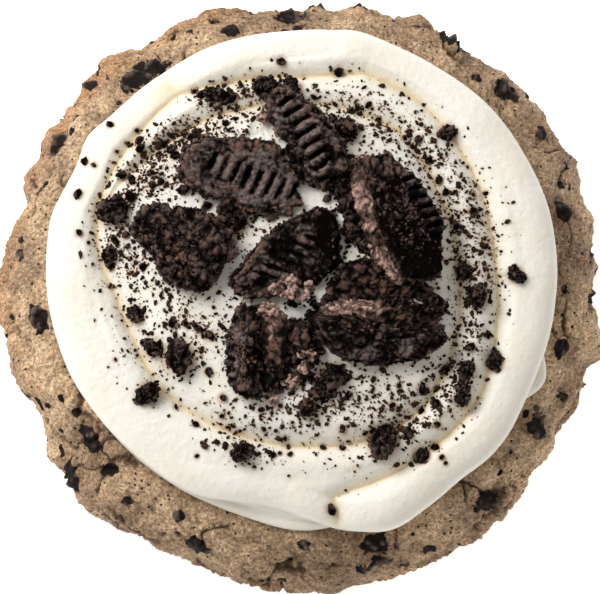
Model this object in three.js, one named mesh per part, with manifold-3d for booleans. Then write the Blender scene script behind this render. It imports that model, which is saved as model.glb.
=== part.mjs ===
// A cookies and cream cookie: a craggy baked biscuit with chocolate wafer bits in its dough,
// a soft swirl of frosting piped on it, and seven broken pieces of chocolate sandwich biscuit
// pressed into the frosting, with their own layers of wafer and cream filling.
// Millimetres, +Z up. The origin is at the middle of the flat base. The front is towards -Y.

import * as THREE from 'three';
import { mergeVertices } from 'three/addons/utils/BufferGeometryUtils.js';
import Module from 'manifold-3d';

const wasm = await Module();
wasm.setup();

// ---- Driving dimensions ----------------------------------------------------------------

const BISCUIT_RADIUS = 44;
const BISCUIT_MIDDLE_HEIGHT = 15.4;
const BISCUIT_SHOULDER_RADIUS = 37;
const BISCUIT_SHOULDER_HEIGHT = 13.9;
const FOOT_RADIUS = 43.2;
const LUMP_SIZE = 4.4;
const LUMP_HEIGHT = 1.9;

const FROSTING_CENTRE = [0.3, 0.2];
const FROSTING_RADIUS = 36.6;
const FROSTING_EDGE_HEIGHT = 5.9;
const FROSTING_MIDDLE_HEIGHT = 7.4;
const LOWER_COIL_RADIUS = 35.9;
const COIL_ROUNDING = 4.2;
const GROOVE_DEPTH = 1.6;
const GROOVE_REACH = 3.4;
const GROOVE_START_ANGLE = 56;

const WAFER = 3.8;
const FILLING = 2.4;
const WAFER_BEVEL = 0.9;
const BREAK_ROUGHNESS = 0.09;
const RIDGE_WIDTH = 0.95;
const RIDGE_HEIGHT = 0.55;
const GAP = 0.3;

const AROUND = 84;

// Bumps and dents in an outline, each with its angle and half width in degrees, and its height.
const BISCUIT_CRAGS = [
  [15, 3.5, 0.6], [26, 3, 1], [41, 8, 1.2], [68, 5, 1.8], [95, 5, -1.3], [109, 8, 1.1],
  [129, 5, 1.5], [144, 4, 1], [166, 7, -0.9], [180, 5, 0.6], [203, 9, -1.2], [217, 4, -1.2],
  [246, 12, -1.1], [267, 7, -1], [317, 6, -0.7], [332, 4, -0.9], [350, 4, 0.9],
];
const FROSTING_LOBES = [
  [30, 30, 0.6], [78, 12, 0.6], [146, 5, 0.8], [168, 8, 0.7], [228, 24, -1.3], [260, 13, -2.4],
  [290, 11, 2.4], [318, 12, 1],
];
const LOWER_COIL_LOBES = [[271, 13, 1.5], [262, 60, -0.8], [337, 6, 2.4]];

// The groove between the coils: degrees wound clockwise from GROOVE_START_ANGLE, and its distance
// from the frosting's middle there. It begins at the left and ends in the outer edge at the front.
const GROOVE_LINE = [
  [-116, 30.6], [-102, 30], [-88, 28.3], [-77, 27.2], [-67, 26.8], [-53, 25.7], [-35, 25.2],
  [-18, 25.2], [0, 25.3], [26, 23], [51, 22.6], [80, 24.2], [103, 26.1], [120, 26.4], [143, 25.2],
  [170, 25.2], [195, 26.1], [215, 25.9], [228, 26.7], [245, 29.8], [256, 31.2], [278, 31.5],
  [292, 32.2], [305, 30.3], [325, 29.1], [336, 30], [343, 31.2], [360, 30.8], [380, 29.3],
  [402, 28.1], [414, 28.1], [430, 29], [451, 31.3], [470, 31.5], [493, 32.1], [506, 33.9],
  [517, 35],
];

// Dark wafer bits baked into the biscuit: angle, distance from the middle and radius.
const BAKED_BITS = [
  [126, 38.7, 1.9], [149, 42.3, 1.3], [105, 39.4, 1.1], [92, 40.5, 1.6], [59, 42.6, 1.8],
  [44, 41.3, 1.8], [33, 41.7, 1.1], [16, 39.9, 1.4], [188, 38.4, 1.8], [204, 43.4, 1.2],
  [220, 43, 1.9], [217, 38, 1.4], [249, 41.4, 1.8], [286, 39.6, 1.7], [310, 42.2, 2],
  [329, 40.1, 1.6], [346, 39.4, 1.5],
];

// The larger crumbs on the frosting: x, y and radius.
const CRUMBS = [
  [-26.9, 9.5, 2.2], [-27.4, 2.8, 1.1], [-23.6, -5.8, 1.2], [-21, -10.8, 1.2],
  [-17.2, -12.4, 2.2], [-21.8, -17.5, 1.6], [-8.1, -26.1, 1.4], [-5, 27.8, 1.4],
  [-1.2, 27.4, 1.3], [6.6, 20.9, 1.7], [21.5, 21.1, 1.1], [31.1, -0.1, 1.1],
  [25.6, -3.6, 1.4], [28.1, -12.7, 1.2], [23.9, -14.3, 1.2], [23.3, -18.2, 1.1],
  [12.1, -24.4, 2.2], [17.4, -26.3, 1.1], [4.6, -17.4, 1.9], [-12.8, 25.9, 1.3],
];

// The broken pieces of sandwich biscuit. An outline lies in the piece's own plane, round `at`,
// and the plane's upward side leans by `lean` degrees towards the compass angle `facing`. Where
// the layers broke apart, each has an outline of its own, moved by its `shift`.
// Layers run down from the outer face of the first wafer. Ridges lie on that face.
const PIECES = [
  {
    name: 'piece_a', at: [-8.1, 13.6, 25.6], lean: 16, facing: 285,
    outline: [
      [-8.6, 0.2], [-7.9, 3.3], [-5.9, 4.6], [-2.4, 5], [2, 4.8], [5, 4.1], [6.7, 1.8],
      [8, -0.8], [8.2, -4], [6.4, -5.7], [4, -6.5], [1.5, -5.8], [-3, -3.4], [-7.4, -2.4],
    ],
    layers: [{ part: 'wafer', depth: 4.8 }],
    ridges: { first: [-3, 2.7], step: [1.65, -0.63], along: [-0.42, -0.91], length: 3.4, count: 7 },
  },
  {
    name: 'piece_b', at: [0.6, 18.9, 25.9], lean: 20, facing: 225,
    outline: [
      [-6.2, 4.5], [-4.7, 7], [-2.8, 7.3], [-0.2, 5.6], [2, 3.3], [4.3, 0.4], [5.9, -3.9],
      [5.1, -6.2], [2.6, -7.6], [0.4, -6.8], [-0.2, -4.4], [-2.4, -1.2], [-4.4, 1],
    ],
    layers: [{ part: 'wafer', depth: 4.2 }],
    ridges: { first: [-3, 4.1], step: [0.8, -1.58], along: [0.87, 0.5], length: 3.2, count: 7 },
  },
  {
    name: 'piece_c', at: [15.9, 7.3, 27.2], lean: 17, facing: 20,
    outline: [
      [-5.7, 8.6], [-2.9, 9.3], [-1, 8], [2, 4.6], [4.8, -0.2], [5.3, -3], [4.5, -7.8],
      [2, -9.4], [-0.7, -8.9], [-2.4, -6.7], [-4.4, 0], [-5.8, 5.6],
    ],
    layers: [
      { part: 'wafer', depth: WAFER - 0.8 },
      {
        part: 'filling', depth: FILLING - 0.6, shift: [-2.2, 0.2],
        outline: [
          [-0.8, 9.4], [-4.1, 9], [-5.2, 6.6], [-5, 2.6], [-3.8, -1.6], [-2.5, -4.5],
          [-1.1, -7.1], [0.6, -9.2], [2.8, -9.4], [4.8, -7.6], [5.2, -1], [2.2, 6.3],
        ],
      },
      {
        part: 'wafer_back', depth: WAFER - 0.8, shift: [-4, 1.5],
        outline: [
          [-1.5, 8.1], [-3.3, 6.7], [-4.3, 4.3], [-4.6, 1], [-4.2, -2], [-2.9, -4.1],
          [-1.1, -5.5], [0.9, -7.1], [3, -7.9], [5.5, -6.5], [5.5, 1.5], [2.5, 6.5],
        ],
      },
    ],
    ridges: { first: [-0.6, 4.6], step: [0.68, -1.38], along: [0.94, 0.33], length: 2.3, count: 6 },
  },
  {
    name: 'piece_d', at: [-17.1, 3.3, 25.8], lean: 12, facing: 205,
    outline: [
      [-7.7, 3.5], [-5.4, 6], [-3.1, 6.2], [-1.1, 5], [2.7, 5.3], [6.6, 1.9], [6.7, -1.7],
      [4.1, -5.8], [1.9, -7], [-2.2, -4.8], [-3.9, -2.5], [-5.5, -0.2], [-7.1, 1.3],
    ],
    layers: [
      { part: 'wafer', depth: WAFER },
      { part: 'filling', depth: FILLING - 0.8, shift: [0.7, 0.3], scale: 0.95 },
    ],
  },
  {
    name: 'piece_e', at: [-1.4, 1.7, 26.2], lean: 18, facing: 300,
    outline: [
      [-7.9, -3.2], [-5.7, -0.4], [-3, 2.6], [-0.3, 4.6], [4.2, 6.8], [6.4, 5.5], [7.5, 3.4],
      [7, -2], [4, -4.3], [0.6, -4.7], [-2.7, -6.2], [-5.6, -6.6], [-7.8, -5.4],
    ],
    layers: [{ part: 'wafer', depth: WAFER + 0.8 }],
    ridges: { first: [-5.4, -2.9], step: [1.45, 1.02], along: [0.92, -0.39], length: 2.8, count: 6 },
  },
  {
    name: 'piece_f', at: [-6.6, -12.4, 27.1], lean: 44, facing: 188,
    layers: [
      {
        part: 'wafer', depth: WAFER - 0.8, shift: [-3.2, 0.2],
        outline: [
          [0.2, 6.7], [2.5, 6.3], [3, 3.5], [2.5, 0], [2.3, -5], [2.1, -6.7], [0.2, -6.5],
          [-1.9, -5.7], [-2.9, -2.3], [-2.7, 0.9], [-1.6, 4],
        ],
      },
      {
        part: 'filling', depth: FILLING, shift: [-2.8, 0.6],
        outline: [
          [-0.6, 5.9], [4.4, 5.4], [5.2, 3], [4.8, 0.4], [3.9, -2.4], [1.8, -5.6], [-1.6, -5.8],
          [-3, -2.4], [-2.6, 1.4],
        ],
      },
      {
        part: 'wafer_back', depth: WAFER, shift: [-1.5, 0.4],
        outline: [
          [-2.1, 5], [3, 4.7], [6, 2.6], [5.8, -0.5], [3.6, -2.4], [-2.3, -4.9], [-5.4, -6.1],
          [-6, -2.4], [-5, 1.6],
        ],
      },
    ],
  },
  {
    name: 'piece_g', at: [12.7, -10, 27.4], lean: 40, facing: 282,
    layers: [
      {
        part: 'wafer', depth: WAFER, shift: [-1, -2.4],
        outline: [
          [-8.9, 1], [-8.5, 3.7], [-5.6, 4.2], [-2, 3.2], [1.6, 2.2], [9.3, 2.2], [9.1, 0.5],
          [6.8, -1.4], [4.1, -2.6], [0.2, -3.1], [-3.8, -2.4], [-6.3, -1.2],
        ],
      },
      {
        part: 'filling', depth: FILLING, shift: [-1, -2.4],
        outline: [
          [-8.6, 1], [-8.3, 3.9], [-5.2, 4.7], [-0.6, 4.5], [4.6, 3.9], [9, 2.4], [6.4, -1.2],
          [0, -2.8], [-5, -1.5],
        ],
      },
      {
        part: 'wafer_back', depth: WAFER, shift: [0.5, 0.8],
        outline: [
          [-9.3, -0.4], [-8.6, 2.6], [-6.4, 5.1], [-3.9, 6.2], [-0.7, 5.6], [4.9, 3.2],
          [8.4, 1], [9.3, -1.6], [7.4, -4.6], [-0.5, -6.2], [-7, -4.2],
        ],
      },
    ],
  },
];

const FINISHES = {
  biscuit: { color: 0xb89a78, roughness: 0.9 },
  frosting: { color: 0xf3ebda, roughness: 0.45 },
  wafer: { color: 0x2e2522, roughness: 0.85 },
  filling: { color: 0xa98578, roughness: 0.8 },
};

// ---- Small helpers ---------------------------------------------------------------------

const degrees = (angle) => (angle * Math.PI) / 180;

function smoothStep(from, to, value) {
  const t = Math.min(Math.max((value - from) / (to - from), 0), 1);
  return t * t * (3 - 2 * t);
}

// A repeatable draw between 0 and 1 for a whole-numbered place.
function latticeValue(i, j, k) {
  const wave = Math.sin(i * 127.1 + j * 311.7 + k * 74.7) * 43758.5453;
  return wave - Math.floor(wave);
}

// Smooth noise between -1 and 1 with bumps about one unit apart.
function noise(x, y, z) {
  const [i, j, k] = [Math.floor(x), Math.floor(y), Math.floor(z)];
  const [u, v, w] = [x - i, y - j, z - k].map((t) => t * t * (3 - 2 * t));
  let sum = 0;
  for (const [a, b, c] of [[0, 0, 0], [1, 0, 0], [0, 1, 0], [1, 1, 0],
    [0, 0, 1], [1, 0, 1], [0, 1, 1], [1, 1, 1]]) {
    const weight = (a ? u : 1 - u) * (b ? v : 1 - v) * (c ? w : 1 - w);
    sum += weight * latticeValue(i + a, j + b, k + c);
  }
  return 2 * sum - 1;
}

// The sum of bumps [angle, half width, height] at a compass angle in degrees.
function outlineBumps(bumps, angle) {
  let sum = 0;
  for (const [centre, halfWidth, height] of bumps) {
    const turn = ((angle - centre + 540) % 360) - 180;
    sum += height * Math.exp(-((turn / halfWidth) ** 2));
  }
  return sum;
}

// A closed surface from rings of points. The rings run from the top's middle over the rim to
// the base's middle, anticlockwise seen from above, and each end is closed by a fan.
function ringSolid(top, rings, base) {
  const points = [top, ...rings.flat(), base];
  const triangles = [];
  const at = (ring, column) => 1 + ring * AROUND + (column % AROUND);
  for (let column = 0; column < AROUND; column++) {
    triangles.push(0, at(0, column), at(0, column + 1));
    for (let ring = 0; ring < rings.length - 1; ring++) {
      const [a, b] = [at(ring, column), at(ring + 1, column)];
      const [c, d] = [at(ring + 1, column + 1), at(ring, column + 1)];
      triangles.push(a, b, c, a, c, d);
    }
    triangles.push(at(rings.length - 1, column + 1), at(rings.length - 1, column), points.length - 1);
  }
  return solidFrom(points.flat(), triangles);
}

function solidFrom(coordinates, triangles) {
  return new wasm.Manifold(new wasm.Mesh({
    numProp: 3,
    vertProperties: new Float32Array(coordinates),
    triVerts: new Uint32Array(triangles),
  }));
}

function solidFromGeometry(geometry) {
  geometry.deleteAttribute('normal');
  geometry.deleteAttribute('uv');
  const merged = mergeVertices(geometry, 1e-4);
  return solidFrom(merged.attributes.position.array, merged.index.array);
}

// The largest body of a solid, without any scraps that a cut left loose.
function largestBody(solid) {
  const bodies = solid.decompose();
  return bodies.reduce((best, body) => (body.volume() > best.volume() ? body : best));
}

function meshFromSolid(name, solid, finish) {
  const data = solid.getMesh();
  const geometry = new THREE.BufferGeometry();
  geometry.setAttribute('position', new THREE.BufferAttribute(data.vertProperties, 3));
  geometry.setIndex(new THREE.BufferAttribute(data.triVerts, 1));
  geometry.computeVertexNormals();
  const material = new THREE.MeshStandardMaterial({ ...FINISHES[finish], metalness: 0 });
  const mesh = new THREE.Mesh(geometry, material);
  mesh.name = name;
  return mesh;
}

// A small rough crumb: a ball of few faces, squashed and turned at random.
function crumb(x, y, z, radius) {
  const geometry = new THREE.IcosahedronGeometry(radius, 0);
  const spin = new THREE.Euler(noise(x, y, 1) * 3, noise(x, y, 2) * 3, noise(x, y, 3) * 3);
  geometry.applyQuaternion(new THREE.Quaternion().setFromEuler(spin));
  geometry.scale(1, 1 + 0.15 * noise(x, y, 4), 0.8);
  geometry.translate(x, y, z);
  return solidFromGeometry(geometry);
}

// ---- Biscuit ---------------------------------------------------------------------------

function biscuitTop(radius) {
  const fall = BISCUIT_MIDDLE_HEIGHT - BISCUIT_SHOULDER_HEIGHT;
  return BISCUIT_MIDDLE_HEIGHT - fall * (radius / BISCUIT_SHOULDER_RADIUS) ** 2;
}

// The section of the rim, from the shoulder over the widest place to the foot's thin lip.
const rimSection = new THREE.SplineCurve([
  new THREE.Vector2(BISCUIT_SHOULDER_RADIUS, BISCUIT_SHOULDER_HEIGHT),
  new THREE.Vector2(BISCUIT_RADIUS - 4.2, 12.7),
  new THREE.Vector2(BISCUIT_RADIUS - 1.5, 9.4),
  new THREE.Vector2(BISCUIT_RADIUS - 0.3, 5.2),
  new THREE.Vector2(FOOT_RADIUS - 0.4, 2.8),
  new THREE.Vector2(FOOT_RADIUS, 1.2),
  new THREE.Vector2(FOOT_RADIUS - 1, 0),
]);

const RIM_RINGS = 11;
const TOP_RINGS = [14, 27];

// The rim's crags: rounded lumps of dough that stand out square to the section.
function rimRing(t) {
  const place = rimSection.getPoint(t);
  const run = rimSection.getTangent(t);
  const outward = [-run.y, run.x].map((n) => (run.y < 0 ? n : -n));
  const strength = LUMP_HEIGHT * smoothStep(0, 0.3, t) * (1 - smoothStep(0.8, 1, t));
  return ringAt((angle) => {
    const crag = outlineBumps(BISCUIT_CRAGS, angle) * smoothStep(0.1, 0.5, t);
    const [x, y] = compass(place.x, angle);
    const [p, q, s] = [x, y, place.y].map((n) => n / LUMP_SIZE);
    const lump = strength * (0.6 * noise(p, q, s) + 0.3 * noise(2 * p + 9, 2 * q, 2 * s));
    return [place.x + crag + outward[0] * lump, place.y + outward[1] * lump];
  });
}

function compass(radius, angle) {
  return [radius * Math.cos(degrees(angle)), radius * Math.sin(degrees(angle))];
}

// A ring of points from a function that gives radius and height for each compass angle.
function ringAt(section, centre = [0, 0]) {
  return Array.from({ length: AROUND }, (_, column) => {
    const angle = (360 * column) / AROUND;
    const [radius, height] = section(angle);
    const [x, y] = compass(radius, angle);
    return [x + centre[0], y + centre[1], height];
  });
}

function biscuit() {
  const rings = TOP_RINGS.map((radius) => ringAt(() => [radius, biscuitTop(radius)]));
  for (let ring = 0; ring <= RIM_RINGS; ring++) {
    rings.push(rimRing(ring / RIM_RINGS));
  }
  let solid = ringSolid([0, 0, BISCUIT_MIDDLE_HEIGHT], rings, [0, 0, 0]);
  for (const [angle, distance, radius] of BAKED_BITS) {
    const place = placeOnRim(distance);
    solid = solid.add(crumb(...compass(distance, angle), place - 0.45 * radius, radius));
  }
  return largestBody(solid);
}

// The height of the rim's section at a distance from the middle.
function placeOnRim(distance) {
  const steps = 60;
  for (let step = 0; step < steps; step++) {
    const place = rimSection.getPoint(step / steps);
    if (place.x >= distance) return place.y;
  }
  return rimSection.getPoint(0.5).y;
}

// ---- Frosting --------------------------------------------------------------------------

// The groove's distance from the middle after a number of degrees wound.
function grooveRadius(wound) {
  const next = Math.max(1, GROOVE_LINE.findIndex(([degree]) => degree >= wound));
  const [[from, near], [to, far]] = [GROOVE_LINE[next - 1], GROOVE_LINE[next]];
  return near + ((far - near) * (wound - from)) / (to - from);
}

// How far the groove between two coils sinks the frosting at a place: a crease with rounded
// shoulders, as deep on each of its windings, that fades in and out at its ends.
function grooveDrop(radius, angle) {
  const turn = (((GROOVE_START_ANGLE - angle) % 360) + 360) % 360;
  const [start, end] = [GROOVE_LINE[0][0], GROOVE_LINE[GROOVE_LINE.length - 1][0]];
  let drop = 0;
  for (const wound of [turn - 360, turn, turn + 360]) {
    if (wound <= start || wound >= end) continue;
    const fade = smoothStep(start, start + 25, wound) * (1 - smoothStep(end - 12, end, wound));
    const near = 1 - Math.abs(radius - grooveRadius(wound)) / GROOVE_REACH;
    drop = Math.max(drop, GROOVE_DEPTH * fade * Math.max(near, 0) ** 2);
  }
  return drop;
}

function frostingTop(radius, angle) {
  const edge = smoothStep(14, 34, radius);
  const height = FROSTING_MIDDLE_HEIGHT + (FROSTING_EDGE_HEIGHT - FROSTING_MIDDLE_HEIGHT) * edge;
  return biscuitTop(radius) + height - grooveDrop(radius, angle);
}

const COIL_RINGS = 16;
const EDGE_RINGS = 4;
const UNDERSIDE_RINGS = [31, 16];

function frosting() {
  const crest = (angle) => FROSTING_RADIUS + outlineBumps(FROSTING_LOBES, angle) - COIL_ROUNDING;
  const lower = (angle) => LOWER_COIL_RADIUS + outlineBumps(LOWER_COIL_LOBES, angle);
  const rings = [];
  for (let ring = 1; ring <= COIL_RINGS; ring++) {
    const share = ring / COIL_RINGS;
    rings.push(ringAt((angle) => {
      const radius = crest(angle) * share;
      return [radius, frostingTop(radius, angle)];
    }, FROSTING_CENTRE));
  }
  for (let ring = 1; ring <= EDGE_RINGS; ring++) {
    const bend = (ring / EDGE_RINGS) * degrees(115);
    rings.push(ringAt((angle) => {
      const top = frostingTop(crest(angle), angle);
      return [
        crest(angle) + COIL_ROUNDING * Math.sin(bend),
        top - 0.62 * COIL_ROUNDING * (1 - Math.cos(bend)),
      ];
    }, FROSTING_CENTRE));
  }
  const rest = biscuitTop(BISCUIT_SHOULDER_RADIUS) + GAP;
  rings.push(ringAt((angle) => [lower(angle), rest + 1.2], FROSTING_CENTRE));
  rings.push(ringAt((angle) => [lower(angle) - 0.3, rest + 0.1], FROSTING_CENTRE));
  for (const radius of UNDERSIDE_RINGS) {
    rings.push(ringAt(() => [radius, biscuitTop(radius + 0.4) + GAP], FROSTING_CENTRE));
  }
  const top = [...FROSTING_CENTRE, frostingTop(0, 0)];
  return ringSolid(top, rings, [...FROSTING_CENTRE, BISCUIT_MIDDLE_HEIGHT + GAP]);
}

function withCrumbs(solid) {
  let joined = solid;
  for (const [x, y, radius] of CRUMBS) {
    const [dx, dy] = [x - FROSTING_CENTRE[0], y - FROSTING_CENTRE[1]];
    const angle = (Math.atan2(dy, dx) * 180) / Math.PI;
    const height = frostingTop(Math.hypot(dx, dy), angle);
    joined = joined.add(crumb(x, y, height + 0.25 * radius, radius));
  }
  return joined;
}

// ---- Pieces of sandwich biscuit --------------------------------------------------------

// Turns a shape from a piece's own plane to its place in the frosting.
function seat(geometry, piece) {
  const lean = degrees(piece.lean);
  const [x, y] = compass(Math.sin(lean), piece.facing);
  const upward = new THREE.Vector3(x, y, Math.cos(lean));
  const turn = new THREE.Quaternion().setFromUnitVectors(new THREE.Vector3(0, 0, 1), upward);
  geometry.applyQuaternion(turn);
  geometry.translate(...piece.at);
  return solidFromGeometry(geometry);
}

// A broken edge: every side of an outline gets one more corner, and all of them are knocked
// in or out a little.
function brokenOutline(outline, seed) {
  return outline.flatMap(([x, y], index) => {
    const [nextX, nextY] = outline[(index + 1) % outline.length];
    return [[x, y], [(x + nextX) / 2, (y + nextY) / 2]].map(([u, v]) => {
      const knock = 1 + BREAK_ROUGHNESS * noise(u * 1.7 + seed, v * 1.7, seed);
      return [u * knock, v * knock];
    });
  });
}

// One layer as a plate with bevelled edges, from `top` down by its depth. `grow` widens it
// all round, for the hollow that it leaves in what it is pressed into.
function layerPlate(piece, layer, top, grow = 0) {
  const [shiftX, shiftY] = layer.shift ?? [0, 0];
  const scale = layer.scale ?? 1;
  const corners = brokenOutline(layer.outline ?? piece.outline, layer.depth).map(([x, y]) => {
    const widen = scale + (grow * 1.25) / Math.hypot(x, y);
    return new THREE.Vector2(x * widen + shiftX, y * widen + shiftY);
  });
  const bevel = Math.min(WAFER_BEVEL, layer.depth / 3);
  const geometry = new THREE.ExtrudeGeometry(new THREE.Shape(corners), {
    depth: layer.depth + 2 * grow - 2 * bevel,
    bevelThickness: bevel,
    bevelSize: bevel,
    bevelOffset: -bevel,
    bevelSegments: 1,
    steps: 1,
  });
  geometry.translate(0, 0, top + grow - (layer.depth + 2 * grow) + bevel);
  return seat(geometry, piece);
}

// The moulded ridges on a wafer's outer face: rounded bars side by side.
function ridgeBars(piece) {
  const { first, step, along, length, count } = piece.ridges;
  const half = RIDGE_WIDTH / 2;
  const section = new THREE.Shape([
    new THREE.Vector2(-half, -0.6),
    new THREE.Vector2(half, -0.6),
    new THREE.Vector2(half, 0.2),
    new THREE.Vector2(half * 0.5, RIDGE_HEIGHT),
    new THREE.Vector2(-half * 0.5, RIDGE_HEIGHT),
    new THREE.Vector2(-half, 0.2),
  ]);
  const heading = Math.atan2(along[1], along[0]);
  return Array.from({ length: count }, (_, index) => {
    const shorter = 1 - 0.35 * Math.abs((2 * index) / (count - 1) - 1) ** 2;
    const bar = new THREE.ExtrudeGeometry(section, { depth: length * shorter, bevelEnabled: false });
    bar.rotateX(Math.PI / 2);
    bar.rotateZ(heading + Math.PI / 2);
    bar.translate(first[0] + index * step[0], first[1] + index * step[1], 0);
    return seat(bar, piece);
  });
}

// The layers of a piece, top to bottom, as named solids, and the hollow that it is pressed into.
function sandwichPiece(piece) {
  let top = 0;
  let hollow = null;
  const solids = [];
  for (const layer of piece.layers) {
    let solid = layerPlate(piece, layer, top);
    const grown = layerPlate(piece, layer, top, GAP);
    hollow = hollow ? hollow.add(grown) : grown;
    if (piece.ridges && solids.length === 0) {
      for (const bar of ridgeBars(piece)) solid = solid.add(bar);
    }
    solids.push({ name: `${piece.name}_${layer.part}`, part: layer.part, solid });
    top -= layer.depth + GAP;
  }
  return { solids, hollow };
}

// ---- Assembly --------------------------------------------------------------------------

const cookie = new THREE.Group();
cookie.add(meshFromSolid('biscuit', biscuit(), 'biscuit'));

let swirl = withCrumbs(frosting());
let taken = null;
for (const piece of PIECES) {
  const { solids, hollow } = sandwichPiece(piece);
  for (const { name, part, solid } of solids) {
    const clear = taken ? solid.subtract(taken) : solid;
    const finish = part === 'filling' ? 'filling' : 'wafer';
    cookie.add(meshFromSolid(name, largestBody(clear), finish));
  }
  taken = taken ? taken.add(hollow) : hollow;
}
swirl = largestBody(swirl.subtract(taken));
cookie.add(meshFromSolid('frosting', swirl, 'frosting'));

export default cookie;
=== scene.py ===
"""Looks for a cookies and cream cookie: a craggy baked biscuit, a soft swirl of frosting piped
on it, broken pieces of chocolate sandwich biscuit pressed into the frosting, and crumbs.

Shapes are worked out in millimetres as whole numpy arrays and put into the meshes in metres.
+Z is up, the front is towards -Y, and the origin is at the middle of the flat base."""

import math

import bpy
import numpy as np
from mathutils import Color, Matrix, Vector


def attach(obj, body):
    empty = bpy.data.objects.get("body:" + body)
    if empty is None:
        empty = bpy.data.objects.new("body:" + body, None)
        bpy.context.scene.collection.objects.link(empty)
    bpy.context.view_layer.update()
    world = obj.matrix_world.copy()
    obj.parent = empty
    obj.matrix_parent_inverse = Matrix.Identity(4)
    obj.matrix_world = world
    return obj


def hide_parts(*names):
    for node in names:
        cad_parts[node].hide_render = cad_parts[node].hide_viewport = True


bl_info = {
    "name": "Cookies and Cream Cookie",
    "version": (1, 0, 0),
    "blender": (4, 5, 0),
    "location": "3D View > Sidebar > Cookie",
    "description": "Builds a frosted cookie topped with broken chocolate sandwich biscuits",
    "category": "Add Mesh",
}

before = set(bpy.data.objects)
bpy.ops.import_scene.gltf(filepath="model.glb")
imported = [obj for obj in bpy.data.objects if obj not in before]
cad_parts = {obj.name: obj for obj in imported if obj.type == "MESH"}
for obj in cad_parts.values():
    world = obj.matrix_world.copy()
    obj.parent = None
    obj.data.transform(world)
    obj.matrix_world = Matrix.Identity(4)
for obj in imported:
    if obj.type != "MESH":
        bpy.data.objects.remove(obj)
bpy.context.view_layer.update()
MM = 0.001

# ---- Sizes in millimetres, as in the CAD part --------------------------------------------

BISCUIT_MIDDLE_HEIGHT = 15.4
SHOULDER_RADIUS = 37
SHOULDER_HEIGHT = 13.9
FOOT_RADIUS = 43.2
RIM_SECTION = np.array([
    [SHOULDER_RADIUS, SHOULDER_HEIGHT], [39.8, 12.7], [42.5, 9.4], [43.7, 5.2],
    [FOOT_RADIUS - 0.4, 2.8], [FOOT_RADIUS, 1.2], [FOOT_RADIUS - 1, 0],
])

FROSTING_CENTRE = (0.3, 0.2)
FROSTING_RADIUS = 36.6
FROSTING_EDGE_HEIGHT = 5.9
FROSTING_MIDDLE_HEIGHT = 7.4
FROSTING_UNDERSIDE = 14.6
LOWER_COIL_RADIUS = 35.9
LOWER_COIL_ROUNDING = 1.1
COIL_PITCH = 6.6
COIL_ROUNDING = 4.2
COIL_FLATNESS = 0.62
EDGE_BEND = 115
GROOVE_REACH = 3.4
GROOVE_START_ANGLE = 56

WAFER = 3.8
FILLING = 2.4
WAFER_BEVEL = 0.9
BREAK_ROUGHNESS = 0.09
GAP = 0.3

# ---- Sizes in millimetres of what only the looks have ----------------------------------------

# The dough's relief, from its lumps and cracked lobes down to its crumb.
LUMP_SIZE = 4.4
LOBE_SIZE = 5.2
SMALL_LOBE_SIZE = 2.1
CRUMB_SIZE = 0.72
GRIT_SIZE = 0.4
FOLD_HEIGHT = 2.9

# A broken wafer's rubble, and the grains that show on its moulded skin.
PEBBLE_SIZE = 1.35
SMALL_PEBBLE_SIZE = 0.7
SKIN_GRAIN_SIZE = 0.85
SMEAR_GRAIN_SIZE = 0.95
SIDE_RING_STEP = 0.16
# Painted light: how much lighter the inner layers' upward faces are made, as `pale` gives it
# for the outer ones.
INNER_PALE = [0.16, 0, 0]

# Small bits all over the rim, besides the listed ones.
SCATTERED_BITS = 190
SCATTER_SEED = 5

# Fine crumbs below this radius are the dust, which has the fewest faces.
DUST_RADIUS = 0.15
# The frosting's stain round them is worked out in square cells over a square of this half side.
STAIN_CELL = 0.25
STAIN_REACH = 40

# ---- Places and outlines -----------------------------------------------------------------------

# Bumps and dents in an outline: angle and half width in degrees, and height.
BISCUIT_CRAGS = [
    [15, 3.5, 0.6], [26, 3, 1], [41, 8, 1.2], [68, 5, 1.8], [95, 5, -1.3], [109, 8, 1.1],
    [129, 5, 1.5], [144, 4, 1], [166, 7, -0.9], [180, 5, 0.6], [203, 9, -1.2], [217, 4, -1.2],
    [246, 12, -1.1], [267, 7, -1], [317, 6, -0.7], [332, 4, -0.9], [350, 4, 0.9],
]
FROSTING_LOBES = [
    [30, 30, 0.6], [78, 12, 0.6], [146, 5, 0.8], [168, 8, 0.7], [228, 24, -1.3], [260, 13, -2.4],
    [290, 11, 2.4], [318, 12, 1],
]
LOWER_COIL_LOBES = [[271, 13, 1.5], [262, 60, -0.8], [337, 6, 2.4]]

# The groove between the coils: degrees wound clockwise from GROOVE_START_ANGLE, and its distance
# from the frosting's middle there.
GROOVE_LINE = np.array([
    [-116, 30.6], [-102, 30], [-88, 28.3], [-77, 27.2], [-67, 26.8], [-53, 25.7], [-35, 25.2],
    [-18, 25.2], [0, 25.3], [26, 23], [51, 22.6], [80, 24.2], [103, 26.1], [120, 26.4], [143, 25.2],
    [170, 25.2], [195, 26.1], [215, 25.9], [228, 26.7], [245, 29.8], [256, 31.2], [278, 31.5],
    [292, 32.2], [305, 30.3], [325, 29.1], [336, 30], [343, 31.2], [360, 30.8], [380, 29.3],
    [402, 28.1], [414, 28.1], [430, 29], [451, 31.3], [470, 31.5], [493, 32.1], [506, 33.9],
    [517, 35],
])

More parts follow.
